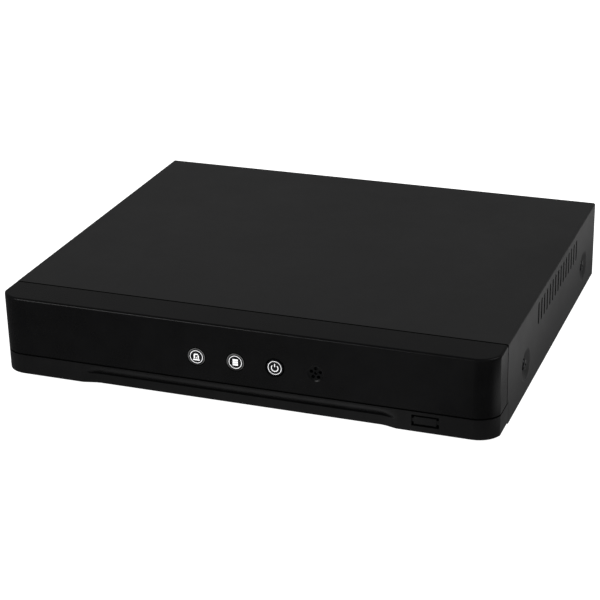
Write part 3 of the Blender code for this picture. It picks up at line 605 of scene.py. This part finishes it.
def scoopTool():
    # a bar along the front, drawn out station by station so that its ends run out to nothing
    depth = bandShape["scoopDepth"]
    left, right, taper = bandShape["scoopLeft"], bandShape["scoopRight"], bandShape["taper"]
    count = 14
    shares = [i / count for i in range(count + 1)]
    stations = [(left - 7 + taper * share, share) for share in shares]
    stations += [(right + 5 - taper * 0.85 * (1 - share), 1 - share) for share in shares]
    top = bandShape["scoopTop"]
    crease = bandShape["creaseHeight"]
    profile = [
        (0.0, top), (0.10, top - 0.75), (0.34, top - 1.9), (0.70, top - 3.2), (1.04, crease + 0.5),
        (1.30, crease + 0.15), (1.30, crease - 0.15), (0.80, crease - 0.55), (0.79, crease - 0.7),
        (0.78, crease - 2.2), (0.78, -1.5),
    ]
    bpy.ops.mesh.primitive_plane_add(size=1)
    tool = named("scoop")
    editAll()
    bpy.ops.mesh.delete(type="VERT")
    leaveEdit()
    rows = []
    for x, share in stations:
        ease = share * share * (3 - 2 * share)
        deep = -0.25 + (depth + 0.25) * ease
        row = [(x * mm, frontY - 3 * mm, baseZ + (top + 0.02) * mm)]
        for part, height in profile:
            proud = 0.02 * mm if part == 0 else 0
            row.append((x * mm, frontY + deep * part * mm - proud, baseZ + height * mm))
        row.append((x * mm, frontY - 3 * mm, baseZ - 1.5 * mm))
        rows.append(row)
    points = [point for row in rows for point in row]
    wide = len(rows[0])
    faces = [list(range(wide)), list(range(len(points) - 1, len(points) - 1 - wide, -1))]
    for i in range(len(rows) - 1):
        for j in range(wide):
            k = (j + 1) % wide
            faces.append([i * wide + j, i * wide + k, (i + 1) * wide + k, (i + 1) * wide + j])
    tool.data.from_pydata(points, [], faces)
    pick(tool)
    editAll()
    bpy.ops.mesh.quads_convert_to_tris()
    bpy.ops.mesh.normals_make_consistent(inside=False)
    leaveEdit()
    return tool


def lowerBand():
    low, top = bandLow.z, bandHigh.z
    rear = frontY + bandShape["shellBack"] * mm
    band = roundedBlock("lowerBand", 0, low, top, rear)
    selectEdges(band, lambda a, b: max(a.z, b.z) < low + 1e-5 and min(a.y, b.y) < rear - 1e-5)
    roundEdges(0.2, 2)
    shaped(band, roundedBlock("hollow", bandShape["wall"], low + 1.5 * mm, top + 2 * mm, rear + 5 * mm))
    shaped(band, scoopTool())
    (usbLeft, usbLow), (usbRight, usbHigh) = bandShape["usbLow"], bandShape["usbHigh"]
    (left, lower), (right, upper) = bandShape["plateLow"], bandShape["plateHigh"]
    shaped(band, blockFrom(frontFoot, "mouth", (usbLeft, -2, usbLow), (usbRight, 6, usbHigh)))
    plate = blockFrom(frontFoot, "plate", (left, 0.35, lower), (right, 1.7, upper))
    bridge = blockFrom(frontFoot, "bridge", (usbLeft - 0.6, 0.55, 6.0), (usbRight + 0.6, 1.5, 7.9))
    shaped(plate, bridge, "UNION")
    shaped(band, plate, "UNION")
    for x in bandShape["hookPlaces"]:
        arm = addBlock(
            "arm", ((x - 3) * mm, frontY + 8 * mm, low + 1.0 * mm),
            ((x + 3) * mm, bandHigh.y, low + 2.2 * mm),
        )
        shaped(band, arm, "UNION")
    softened(band, 0.1, 2)
    return dressed(band, "bandBlack", "case", ["lower_band"])


# ---- steel cover

coverShape = {
    "sheet": 0.8,
    "foldRadius": 1.1,
    "slotCount": 15,
    "slotPitch": 6.17,
    "slotWidth": 2.3,
    "slotStart": 81.4,
    "slotLow": 26.3,
    "slotHigh": 38.0,
    "dishHeight": 15.3,
    "dishPlaces": (56.9, 188.0),
    "dishForm": [(8.9, 0.4), (8.5, 1.0), (5.3, 2.6), (4.6, 3.0), (2.0, 3.0)],
    "dishHollow": [
        (9.0, -1.0), (8.6, 0.0), (8.2, 0.08), (7.75, 0.32), (7.3, 0.62), (4.7, 1.95), (4.3, 2.13),
        (3.8, 2.2), (1.8, 2.2), (1.8, 6.0),
    ],
    "notchBack": 22.7,
    "notchTop": 11.65,
}


def topCover():
    sheet = coverShape["sheet"] * mm
    cover = addBlock("topCover", coverLow, coverHigh)
    selectEdges(cover, lambda a, b: min(a.z, b.z) > topZ - 1e-5 and abs(a.x - b.x) < 1e-5)
    roundEdges(coverShape["foldRadius"], 6)
    room = addBlock(
        "room", (coverLow.x + sheet, coverLow.y - 1 * mm, coverLow.z - 1 * mm),
        (coverHigh.x - sheet, coverHigh.y + 1 * mm, coverHigh.z - sheet),
    )
    shaped(cover, room)
    dishes = []
    bores = []
    for back in coverShape["dishPlaces"]:
        place = (halfWidth, frontY + back * mm, baseZ + coverShape["dishHeight"] * mm)
        dishes.append(addTurned("form", coverShape["dishForm"], 56, place, (-1, 0, 0)))
        bores.append(addTurned("hollow", coverShape["dishHollow"], 56, place, (-1, 0, 0)))
    dish = joined(dishes, "dishes")
    bore = joined(bores, "bores")
    shaped(cover, mirroredX(dish, "dishesLeft"), "UNION")
    shaped(cover, dish, "UNION")
    shaped(cover, mirroredX(bore, "boresLeft"))
    shaped(cover, bore)
    radius = coverShape["slotWidth"] / 2
    start = frontY + coverShape["slotStart"] * mm
    slotLow = baseZ + coverShape["slotLow"] * mm
    slotHigh = baseZ + coverShape["slotHigh"] * mm
    first = addBlock(
        "slot", (-halfWidth - 3 * mm, start - radius * mm, slotLow),
        (halfWidth + 3 * mm, start + radius * mm, slotHigh),
    )
    selectEdges(first, lambda a, b: abs(a.x - b.x) > 1e-3)
    roundEdges(radius * 0.98, 6)
    slots = [first]
    for i in range(1, coverShape["slotCount"]):
        slots.append(copied(first, "slot", (0, i * coverShape["slotPitch"] * mm, 0)))
    shaped(cover, joined(slots, "slots"))
    notch = addBlock(
        "notch", (-halfWidth - 1 * mm, coverLow.y - 1 * mm, baseZ - 1 * mm),
        (halfWidth + 1 * mm, frontY + coverShape["notchBack"] * mm, baseZ + coverShape["notchTop"] * mm),
    )
    shaped(cover, notch)
    softened(cover, 0.1, 2)
    dressed(cover, "powderCoat", "case", ["top_cover"])
    # painted shade: the sheet's front edge in the seam and the walls of the side slots take the near-black
    # finish, where shade falls
    cover.data.materials.append(finishOf("paintedShade"))
    for face in cover.data.polygons:
        if face.normal.y < -0.6 and face.center.y < coverLow.y + 0.2 * mm:
            face.material_index = 1
        inSlot = slotLow - 0.05 * mm < face.center.z < slotHigh + 0.05 * mm
        if inSlot and abs(face.normal.x) < 0.8 and abs(face.center.x) > halfWidth - sheet:
            face.material_index = 1


# ---- lamps and button

signShape = {
    "lensRing": (3.34, 3.08),
    "buttonRing": (3.45, 3.20),
    # outer and inner radius of the ring of painted glow beside each lamp's print
    "haze": (4.38, 3.98),
    "ink": 0.04,
}


def flatRing(name, outer, inner, place, sides=64):
    bpy.ops.mesh.primitive_circle_add(
        vertices=sides, radius=outer * mm, fill_type="NOTHING", location=place,
        rotation=(math.radians(90), 0, 0),
    )
    ring = named(name)
    editAll()
    bpy.ops.mesh.extrude_region_move()
    share = inner / outer
    bpy.ops.transform.resize(value=(share, share, share), center_override=place)
    leaveEdit()
    return ring


def inked(item):
    # a thin raised layer, its face towards the front
    pick(item)
    facedOut()
    step = item.modifiers.new("ink", "SOLIDIFY")
    step.thickness = signShape["ink"] * mm
    step.offset = 0
    bpy.ops.object.modifier_apply(modifier=step.name)
    return item


def inkBar(centre, y, x0, x1, z0, z1):
    ink = signShape["ink"] * mm / 2
    low = (centre.x + x0 * mm, y - ink, centre.z + z0 * mm)
    high = (centre.x + x1 * mm, y + ink, centre.z + z1 * mm)
    return addBlock("bar", low, high)


def sign(name, node, faceY, shapes, body, ring):
    centre = middleOf(node)
    outer, inner = signShape[ring]
    marks = [inked(flatRing("ring", outer, inner, (centre.x, faceY, centre.z)))]
    marks += shapes(centre, faceY)
    mark = joined(marks, name)
    softened(mark, 0, 1)
    return dressed(mark, "printedWhite", body)


def alarmShapes(centre, y):
    # a warning lamp on its foot
    bars = [inkBar(centre, y, -1.7, 1.7, -1.85, -1.25)]
    bars.append(inkBar(centre, y, -1.35, -0.72, -0.95, 1.1))
    bars.append(inkBar(centre, y, 0.72, 1.3, -0.95, 0.85))
    bars.append(inkBar(centre, y, -1.05, 0.9, 1.0, 1.6))
    bars.append(inkBar(centre, y, -0.18, 0.2, -0.95, 0.0))
    return bars


def recordShapes(centre, y):
    # a stack of three drawers
    bars = []
    for i in range(3):
        low = -1.72 + i * 1.17
        bars.append(inkBar(centre, y, -1.35, 1.35, low, low + 0.95))
    return bars


def powerShapes(centre, y):
    place = (centre.x, y, centre.z - 0.1 * mm)
    arc = flatRing("arc", 1.88, 1.50, place, 48)
    bpy.ops.object.mode_set(mode="EDIT")
    bpy.ops.mesh.select_all(action="DESELECT")
    leaveEdit()
    for corner in arc.data.vertices:
        lean = math.atan2(corner.co.x - centre.x, corner.co.z - place[2])
        corner.select = abs(lean) < math.radians(38)
    bpy.ops.object.mode_set(mode="EDIT")
    bpy.ops.mesh.delete(type="VERT")
    leaveEdit()
    return [inked(arc), inkBar(centre, y, -0.19, 0.19, 0.45, 2.10)]


def controls():
    for name in ("alarm", "record"):
        node = f"{name}_indicator"
        centre = middleOf(node)
        rings = [
            (4.2, 0.2), (4.46, 0.22), (4.5, 0.34), (4.5, 2.3), (5.6, 2.3), (5.6, 3.4), (2.6, 3.4), (2.6, 7.1),
        ]
        lens = addTurned(f"{name}Lens", rings, 64, (centre.x, frontY, lampZ), rearwards)
        softened(lens, 0.04, 2)
        dressed(lens, "smokedLens", "case", [node])
        # painted light: a thin grey ring beside the print that glows, fading out towards the bottom
        outer, inner = signShape["haze"]
        haze = inked(flatRing(f"{name}Haze", outer, inner, (centre.x, frontY + 0.19 * mm, lampZ)))
        dressed(haze, "paintedGlow", "case")
    sign("alarmSign", "alarm_indicator", frontY + 0.18 * mm, alarmShapes, "case", "lensRing")
    sign("recordSign", "record_indicator", frontY + 0.18 * mm, recordShapes, "case", "lensRing")
    centre = middleOf("power_button")
    rings = [
        (3.9, 0.05), (4.0, 0.08), (4.1, 0.2), (4.12, 0.4), (4.3, 0.7), (4.3, 2.3), (5.4, 2.3), (5.4, 3.3),
        (2.0, 3.3), (2.0, 5.6),
    ]
    cap = addTurned("buttonCap", rings, 64, (centre.x, frontY, lampZ), rearwards)
    softened(cap, 0.05, 2)
    dressed(cap, "smokedLens", "button", ["power_button"])
    sign("powerSign", "power_button", frontY + 0.03 * mm, powerShapes, "button", "buttonRing")


# ---- screws and feet

screwShape = {"sides": 40, "recessDepth": 1.1, "recessArm": 1.5, "recessWidth": 0.75}

# head radius and height, shank radius and length, finish and slot
screwKinds = {
    "side": (2.9, 1.7, 1.5, 5.0, "blackZinc", "black_steel"),
    "board": (2.8, 1.6, 1.5, 6.0, "brightSteel", "plated_steel"),
    "disk": (3.2, 1.4, 1.75, 7.0, "brightSteel", "plated_steel"),
}


def screwPiece(name, node, direction, headRadius, headHeight, shank, length, finish, slot):
    # the head's underside is where the shank begins; the whole is read from its node's box
    low, high = [Vector(corner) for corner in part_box(node)]
    centre = (low + high) / 2
    along = Vector(direction)
    span = headHeight + length
    place = centre + along * (length - span / 2) * mm
    rings = [
        (shank - 0.5, -length), (shank, -length + 0.5), (shank, 0), (headRadius - 0.1, 0),
        (headRadius, 0.12), (headRadius, headHeight * 0.3), (headRadius * 0.96, headHeight * 0.58),
        (headRadius * 0.84, headHeight * 0.82), (headRadius * 0.62, headHeight * 0.96), (0.5, headHeight),
    ]
    screw = addTurned(name, rings, screwShape["sides"])
    arm, width = screwShape["recessArm"], screwShape["recessWidth"]
    floor = headHeight - screwShape["recessDepth"]
    for x, y in ((arm, width / 2), (width / 2, arm)):
        shaped(screw, addBlock("recess", (-x * mm, -y * mm, floor * mm), (x * mm, y * mm, 5 * mm)))
    turn = Vector((0, 0, 1)).rotation_difference(along)
    driven = sum(ord(letter) for letter in name) * 17 % 90  # where the driver happened to leave the cross
    spin = Matrix.Rotation(math.radians(driven), 4, "Z")
    pick(screw)
    screw.matrix_world = Matrix.Translation(place) @ turn.to_matrix().to_4x4() @ spin
    settled()
    softened(screw, 0.06, 2)
    return dressed(screw, finish, "case", [node])


def fasteners():
    for number in range(1, 5):
        headed = {"side": (-1 if number < 3 else 1, 0, 0), "board": (0, 0, 1), "disk": (0, 0, -1)}
        for kind, sizes in screwKinds.items():
            screwPiece(f"{kind}Screw{number}", f"{kind}_screw_{number}", headed[kind], *sizes)


def feet():
    for number in range(1, 5):
        centre = middleOf(f"foot_{number}")
        rings = [
            (4.6, 0.25), (4.9, 0.0), (5.9, 0.0), (6.3, 0.15), (6.6, 0.5), (6.9, 1.6), (7.0, 2.6), (6.9, 3.0),
        ]
        foot = addTurned(f"foot{number}", rings, 48, (centre.x, centre.y, 0))
        softened(foot, 0, 1, 50)
        dressed(foot, "footRubber", "case", [f"foot_{number}"])


# ---- rear sockets

def hexNut(name, place, across, height, bore):
    rings = [
        (across * 0.94, 0.0), (across, 0.3), (across, height - 0.3), (across * 0.9, height),
        (bore + 0.3, height), (bore, height - 0.3), (bore, 0.6),
    ]
    nut = addTurned(name, rings, 48, place, rearwards)
    trim = addTurned("trim", [(across * 1.02, -1.0), (across * 1.02, height + 1.0)], 6, place, rearwards)
    shaped(nut, trim, "INTERSECT")
    return nut


videoFeed = {
    "axisHeight": 11.7,
    "collar": 6.0,
    "sleeve": 4.83,
    "bore": 4.06,
    "insulator": 2.35,
    "lugPlace": 6.8,
    "threadTurns": 5,
}


def bayonetSocket():
    # bayonet video sockets: plated sleeve with two lugs, white insulator, gold contact
    low = Vector(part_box("bnc_socket_1")[0])
    centre = (middleOf("bnc_socket_1").x, wallY, low.z + videoFeed["axisHeight"] * mm)
    length = (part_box("bnc_socket_1")[1][1] - wallY) / mm
    sleeve, bore, collar = videoFeed["sleeve"], videoFeed["bore"], videoFeed["collar"]
    rings = [(4.4, -1.4), (4.4, 0.04), (collar - 0.2, 0.04), (collar, 0.2), (collar, 0.85)]
    rings += [(collar - 0.2, 1.0), (sleeve - 0.05, 1.0)]
    for turn in range(videoFeed["threadTurns"]):
        start = 1.3 + turn * 0.5
        rings += [(sleeve - 0.05, start), (sleeve - 0.35, start + 0.25)]
    rings += [(sleeve - 0.35, 4.4), (sleeve, 4.7), (sleeve, length - 0.25), (sleeve - 0.2, length)]
    rings += [(bore + 0.2, length), (bore, length - 0.2), (bore, 2.6)]
    shell = addTurned("feedShell", rings, 48, centre, rearwards)
    lugY = wallY + videoFeed["lugPlace"] * mm
    pegs = [(0.95, 4.4), (0.95, 5.3), (0.75, 5.5)]
    for side in (-1, 1):
        peg = addTurned("lug", pegs, 20, (centre[0], lugY, centre[2]), (0, 0, side))
        shaped(shell, peg, "UNION")
    softened(shell, 0, 1)
    core = videoFeed["insulator"]
    rings = [(core, 2.4), (core, length - 1.8), (core - 0.15, length - 1.6)]
    rings += [(1.3, length - 1.6), (1.2, length - 3.0)]
    insulator = addTurned("feedInsulator", rings, 32, centre, rearwards)
    softened(insulator, 0, 1)
    rings = [(1.0, 2.5), (1.0, length - 2.4), (0.85, length - 2.2), (0.6, length - 2.2), (0.5, length - 5.5)]
    contact = addTurned("feedContact", rings, 24, centre, rearwards)
    softened(contact, 0, 1)
    foot = (centre[0], wallY, low.z)
    block = blockFrom(foot, "feedBlock", (-7.2, -15.6, 0), (7.2, -1.5, 18.9))
    shaped(block, blockFrom(foot, "step", (-9, -20, 14), (9, -11, 30)))
    softened(block, 0.5, 2)
    parts = [
        (shell, "nickelPlate", "nickel"), (insulator, "whiteNylon", "connector_white"),
        (contact, "goldPlate", "nickel"), (block, "blackNylon", "connector_black"),
    ]
    for number in range(1, 5):
        move = middleOf(f"bnc_socket_{number}").x - centre[0]
        for part, finish, slot in parts:
            piece = part if number == 1 else copied(part, f"{part.name}{number}", (move, 0, 0))
            replaced = [f"bnc_socket_{number}"] if part is shell else []
            dressed(piece, finish, "case", replaced)


soundFeed = {"heights": (7.7, 22.2), "colours": ("whiteNylon", "redNylon"), "barrel": 4.15}


def soundSockets():
    # two phono sockets one above the other: plated barrels with coloured cores
    low, high = [Vector(corner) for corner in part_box("audio_sockets")]
    x = (low.x + high.x) / 2
    length = (high.y - wallY) / mm
    block = addBlock("soundBlock", low, (high.x, wallY - 1.2 * mm, high.z))
    softened(block, 0.5, 2)
    dressed(block, "blackNylon", "case", ["audio_sockets"])
    barrel = soundFeed["barrel"]
    for height, colour in zip(soundFeed["heights"], soundFeed["colours"]):
        centre = (x, wallY, low.z + height * mm)
        rings = [
            (barrel, -1.4), (barrel, length - 3.2), (barrel - 0.15, length - 3.0),
            (barrel - 0.15, length - 2.7), (barrel, length - 2.5), (barrel, length - 0.25),
            (barrel - 0.15, length - 0.05), (barrel - 0.5, length - 0.05), (barrel - 0.6, length - 0.3),
            (barrel - 0.6, 1.0),
        ]
        turnedPiece(f"soundShell{int(height)}", rings, 48, centre, "nickelPlate")
        rings = [
            (3.5, 0.9), (3.5, length - 1.1), (3.35, length - 0.95), (1.95, length - 0.95),
            (1.8, length - 1.15), (1.8, 0.6),
        ]
        turnedPiece(f"soundCore{int(height)}", rings, 40, centre, colour)
        rings = [(1.78, 0.8), (1.78, length - 1.5), (1.6, length - 1.6), (1.5, length - 1.9), (1.5, 1.4)]
        turnedPiece(f"soundLiner{int(height)}", rings, 32, centre, "nickelPlate")


screenFeed = {
    "halfFlange": (15.4, 6.3),
    "halfTop": 8.3,
    "halfBottom": 7.1,
    "halfHeight": 4.1,
    "nutPlace": 12.5,
    "pinPitch": 2.29,
    "rowPitch": 2.0,
    "cornerRadius": 1.3,
}


def dShape(name, centre, inset, startY, endY):
    halfTop, halfBottom = screenFeed["halfTop"] - inset, screenFeed["halfBottom"] - inset
    half = (screenFeed["halfHeight"] - inset) * mm
    block = addBlock(
        name, (centre.x - halfTop * mm, startY, centre.z - half),
        (centre.x + halfTop * mm, endY, centre.z + half),
    )
    selectEdges(block, lambda a, b: max(a.z, b.z) < centre.z)
    bpy.ops.transform.resize(value=(halfBottom / halfTop, 1, 1), center_override=centre)
    leaveEdit()
    selectEdges(block, lambda a, b: abs(a.y - b.y) > 1e-4)
    roundEdges(screenFeed["cornerRadius"], 5)
    return block


def screenSocket():
    centre = middleOf("video_socket")
    width, height = screenFeed["halfFlange"]
    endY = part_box("video_socket")[1][1]
    onWall = (centre.x, wallY, centre.z)
    plate = blockFrom(onWall, "screenPlate", (-width, -1.2, -height), (width, -0.9, height))
    shell = dShape("shell", centre, 0, wallY - 1.0 * mm, endY)
    shaped(shell, dShape("hollow", centre, 0.45, wallY - 3 * mm, endY + 2 * mm))
    shaped(plate, shell, "UNION")
    softened(plate, 0.1, 2)
    dressed(plate, "nickelPlate", "case", ["video_socket"])
    bodyWidth = width - 0.4
    body = blockFrom(onWall, "screenBody", (-bodyWidth, -9.8, -height), (bodyWidth, -1.25, height))
    softened(body, 0.5, 2)
    dressed(body, "blackNylon", "case")
    insert = dShape("screenInsert", centre, 0.6, wallY - 1.1 * mm, endY - 0.5 * mm)
    drills = []
    for row in (-1, 0, 1):
        for column in range(5):
            x = centre.x + ((column - 2) * screenFeed["pinPitch"] + row * 0.6) * mm
            z = centre.z + row * screenFeed["rowPitch"] * mm
            rings = [(0.42, -3.0), (0.42, -0.3), (0.62, 0.05), (0.62, 1.0)]
            drills.append(addTurned("drill", rings, 14, (x, endY - 0.5 * mm, z), rearwards))
    shaped(insert, joined(drills, "drills"))
    softened(insert, 0.08, 2)
    dressed(insert, "blueNylon", "case")
    for side in (-1, 1):
        place = (centre.x + side * screenFeed["nutPlace"] * mm, wallY, centre.z)
        nut = hexNut(f"screenNut{side + 2}", place, 2.75, 4.5, 1.35)
        softened(nut, 0.06, 2)
        dressed(nut, "nickelPlate", "case")


# each flush socket: mouths and tongues as (half width, low, high, depth), contacts, and a contact's width
flushSockets = {
    "hdmi_socket": ([(6.9, 0.8, 5.5, 9.0)], [(5.5, 2.6, 3.9, 8.9)], 10, 0.5),
    "usb_sockets": ([(6.5, 1.45, 6.55, 12.0), (6.5, 9.25, 14.35, 12.0)],
                    [(5.5, 4.1, 5.9, 11.9), (5.5, 11.9, 13.7, 11.9)], 4, 1.1),
    "lan_socket": ([(5.95, 3.4, 10.4, 13.0), (3.0, 10.0, 12.4, 13.0)], [], 8, 0.42),
}

# the heights in that table start this far under the node's box
underBox = 0.3
mouthRound = 0.4


def flushSocket(node):
    mouths, tongues, contacts, contactWidth = flushSockets[node]
    low, high = [Vector(corner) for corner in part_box(node)]
    x = (low.x + high.x) / 2
    name = node.split("_")[0]
    shell = addBlock(f"{name}Shell", low, high)
    mouthFoot = (x, high.y, low.z)
    for half, bottom, top, depth in mouths:
        under, over = bottom - underBox, top - underBox
        hollow = blockFrom(mouthFoot, "hollow", (-half, -depth, under), (half, 1, over))
        selectEdges(hollow, lambda a, b: abs(a.y - b.y) > 1e-4)
        roundEdges(mouthRound, 4)
        shaped(shell, hollow)
    softened(shell, 0.15, 2)
    dressed(shell, "nickelPlate", "case", [node])
    contactsMade = []
    for number, (half, bottom, top, depth) in enumerate(tongues):
        under, over = bottom - underBox, top - underBox
        tongue = blockFrom(mouthFoot, f"{name}Tongue{number + 1}", (-half, -depth, under), (half, -1, over))
        softened(tongue, 0.15, 2)
        dressed(tongue, "blackNylon" if contacts > 4 else "whiteNylon", "case")
        pitch = 1.7 * half / contacts
        for i in range(contacts):
            left = (i - (contacts - 1) / 2) * pitch - contactWidth / 2
            contactsMade.append(blockFrom(
                mouthFoot, "contact", (left, 0.5 - depth, bottom - 0.42),
                (left + contactWidth, -1.6, bottom - 0.2),
            ))
    if not tongues:
        for i in range(contacts):
            left = (i - 3.5) * 1.02 - contactWidth / 2
            contactsMade.append(blockFrom(
                mouthFoot, "contact", (left, -12.5, 4.6), (left + contactWidth, -3.5, 5.0)
            ))
    strips = joined(contactsMade, f"{name}Contacts")
    softened(strips, 0.06, 2)
    dressed(strips, "goldPlate", "case")


def networkLining():
    # black lining just inside the mouth, and the two small lamps over it
    low, high = [Vector(corner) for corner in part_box("lan_socket")]
    x = (low.x + high.x) / 2
    mouthFoot = (x, high.y, low.z)
    lining = blockFrom(mouthFoot, "networkLining", (-5.9, -12.9, 3.15), (5.9, -0.4, 10.05))
    shaped(lining, blockFrom(mouthFoot, "hollow", (-5.45, -12.4, 3.6), (5.45, 1, 9.6)))
    shaped(lining, blockFrom(mouthFoot, "hollow", (-3.0, -12.4, 9.0), (3.0, 1, 11.0)))
    softened(lining, 0.12, 2)
    dressed(lining, "blackNylon", "case")
    for side, finish in ((-1, "amberLamp"), (1, "greenLamp")):
        middle = side * 5.4
        lamp = blockFrom(
            mouthFoot, f"networkLamp{side + 2}", (middle - 1.5, -1.5, 10.9), (middle + 1.5, 0.1, 12.7)
        )
        softened(lamp, 0.25, 3)
        dressed(lamp, finish, "case")


def powerJack():
    low, high = [Vector(corner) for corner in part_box("power_socket")]
    x = (low.x + high.x) / 2
    centre = (x, high.y, low.z + 5.3 * mm)
    jack = addBlock("powerJack", low, high)
    rings = [(4.0, 0.5), (3.15, -0.35), (3.15, -9.0)]
    shaped(jack, addTurned("hollow", rings, 40, centre, rearwards))
    shaped(jack, addBlock("step", (x - 9 * mm, low.y - 1 * mm, high.z - 1.6 * mm),
                          (x + 9 * mm, high.y - 5 * mm, high.z + 1 * mm)))
    softened(jack, 0.15, 2)
    dressed(jack, "blackNylon", "case", ["power_socket"])
    rings = [(3.13, -8.8), (3.13, -1.2), (3.0, -1.05), (2.9, -1.2), (2.9, -8.0)]
    turnedPiece("powerSleeve", rings, 40, centre, "nickelPlate")
    rings = [(1.05, -8.5), (1.05, -1.1), (0.9, -0.8), (0.5, -0.6)]
    turnedPiece("powerPin", rings, 24, centre, "nickelPlate")


def rearSockets():
    bayonetSocket()
    soundSockets()
    screenSocket()
    for node in flushSockets:
        flushSocket(node)
    networkLining()
    powerJack()


# ---- carried-over pieces

nodeFinishes = {
    "zincSheet": ["chassis_base"],
    "blackNylon": ["switch_plunger", "cell_holder", "disk_plug", "data_plug"],
    "chipEpoxy": ["power_switch", "buzzer", "main_chip", "memory_chip"],
    "solderMask": ["front_board", "mainboard", "disk_board"],
    "lampResin": ["alarm_led", "record_led", "power_led"],
    "brightSteel": ["coin_cell", "disk_lid"],
    "drawnAluminium": ["heat_sink", "disk_arm"],
    "sleeveBlue": ["capacitor_1", "capacitor_2"],
    "castMetal": ["disk_base"],
    "platterMirror": ["disk_platters"],
    "redJacket": ["data_cable"],
    "blackJacket": ["power_cable"],
    "ribbonGrey": ["front_cable"],
    "whiteNylon": ["power_plug", "front_plug"],
}


def carriedOver():
    for finish, nodes in nodeFinishes.items():
        for node in nodes:
            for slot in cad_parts[node].material_slots:
                slot.material = finishOf(finish)


# ---- studio

studio = {
    "worldLevel": 0.225,
    "cardLevel": 0.27,
    "cardTone": [
        (-0.14, 0.40), (0.09, 1.48), (0.131, 0.66), (0.158, 0.66), (0.172, 3.5), (0.196, 3.5), (0.212, 0.4),
    ],
    "cardSpan": (-0.2, 0.4),
    "cardReach": 2.0,
    "cardShadeX": (0.075, 0.130),
    "cardShadeY": (-0.104, -0.128),
}

# place, target, width, height and power
softboxes = {
    "keySoftbox": ((-1.1, -1.8, 1.05), (0, -0.1, 0), 1.0, 0.45, 17.0),
    "sideSoftbox": ((1.5, 0.25, 1.7), (0, 0, 0), 1.2, 1.2, 10.0),
}


def areaLight(name, place, target, width, height, power):
    bpy.ops.object.light_add(type="AREA", location=place)
    light = bpy.context.active_object
    light.name = name
    light.data.shape = "RECTANGLE"
    light.data.size = width
    light.data.size_y = height
    light.data.energy = power
    aim = Vector(target) - Vector(place)
    light.rotation_euler = aim.to_track_quat("-Z", "Y").to_euler()


def bounceCard():
    # a grey card laid round the object, seen only in its gloss, shaded at the near right corner
    level = studio["cardLevel"]
    made = Finish("greyCard", {"Specular IOR Level": 0.0, "Emission Strength": 1.0, "Base Color": rgb(0)})
    split = {"Vector": made.place}
    across = made.node("ShaderNodeSeparateXYZ", {}, split, output="X")
    along = made.node("ShaderNodeSeparateXYZ", {}, split, output="Y")
    left, right = studio["cardSpan"]
    stops = [((x - left) / (right - left), level * share) for x, share in studio["cardTone"]]
    spread = made.ramp(across + made.grain(9, 2.0) * 0.01, left, right)
    lit = made.node("ShaderNodeValToRGB", {"stops": stops}, {"Fac": spread})
    shade = made.ramp(across, *studio["cardShadeX"]) * made.ramp(along, *studio["cardShadeY"])
    made.feed("Emission Color", made.mix(shade, lit, rgb(0.0)))
    bpy.ops.mesh.primitive_plane_add(size=2 * studio["cardReach"], location=(0, 0, 0.5 * mm))
    card = named("bounceCard")
    card.data.materials.append(made.material)
    card.visible_camera = False
    card.visible_diffuse = False
    card.visible_shadow = False
    card.visible_transmission = False


def studioSet():
    bpy.ops.mesh.primitive_plane_add(size=14, location=(0, 0, 0))
    floor = named("studioFloor")
    floor.data.materials.append(finishOf("paleFloor"))
    floor.visible_glossy = False
    bounceCard()
    world = bpy.data.worlds.new("studio")
    bpy.context.scene.world = world
    world.use_nodes = True
    level = studio["worldLevel"]
    world.node_tree.nodes["Background"].inputs["Color"].default_value = (level, level, level, 1)
    for name, settings in softboxes.items():
        areaLight(name, *settings)


viewpoint = {
    "place": (0.30070, -0.81731, 0.38966),
    "azimuth": 20.789,
    "elevation": 23.396,
    "roll": -1.343,
    "lens": 106.57,
}


def cameraSet():
    bpy.ops.object.camera_add(location=viewpoint["place"])
    camera = bpy.context.active_object
    camera.name = "studioCamera"
    camera.data.lens = viewpoint["lens"]
    camera.data.sensor_width = 36.0
    camera.data.clip_start = 0.01
    turn = Matrix.Rotation(math.radians(viewpoint["azimuth"]), 3, "Z")
    tilt = Matrix.Rotation(math.radians(90 - viewpoint["elevation"]), 3, "X")
    roll = Matrix.Rotation(math.radians(viewpoint["roll"]), 3, "Z")
    camera.rotation_euler = (turn @ tilt @ roll).to_euler()
    bpy.context.scene.camera = camera
    bpy.context.scene.view_settings.view_transform = "Standard"


cameraSet()
studioSet()
print("studio set")
topCover()
print("cover made")
frontPanel()
lowerBand()
print("front made")
controls()
print("controls made")
fasteners()
feet()
print("fasteners and feet made")
rearSockets()
print("rear sockets made")
carriedOver()
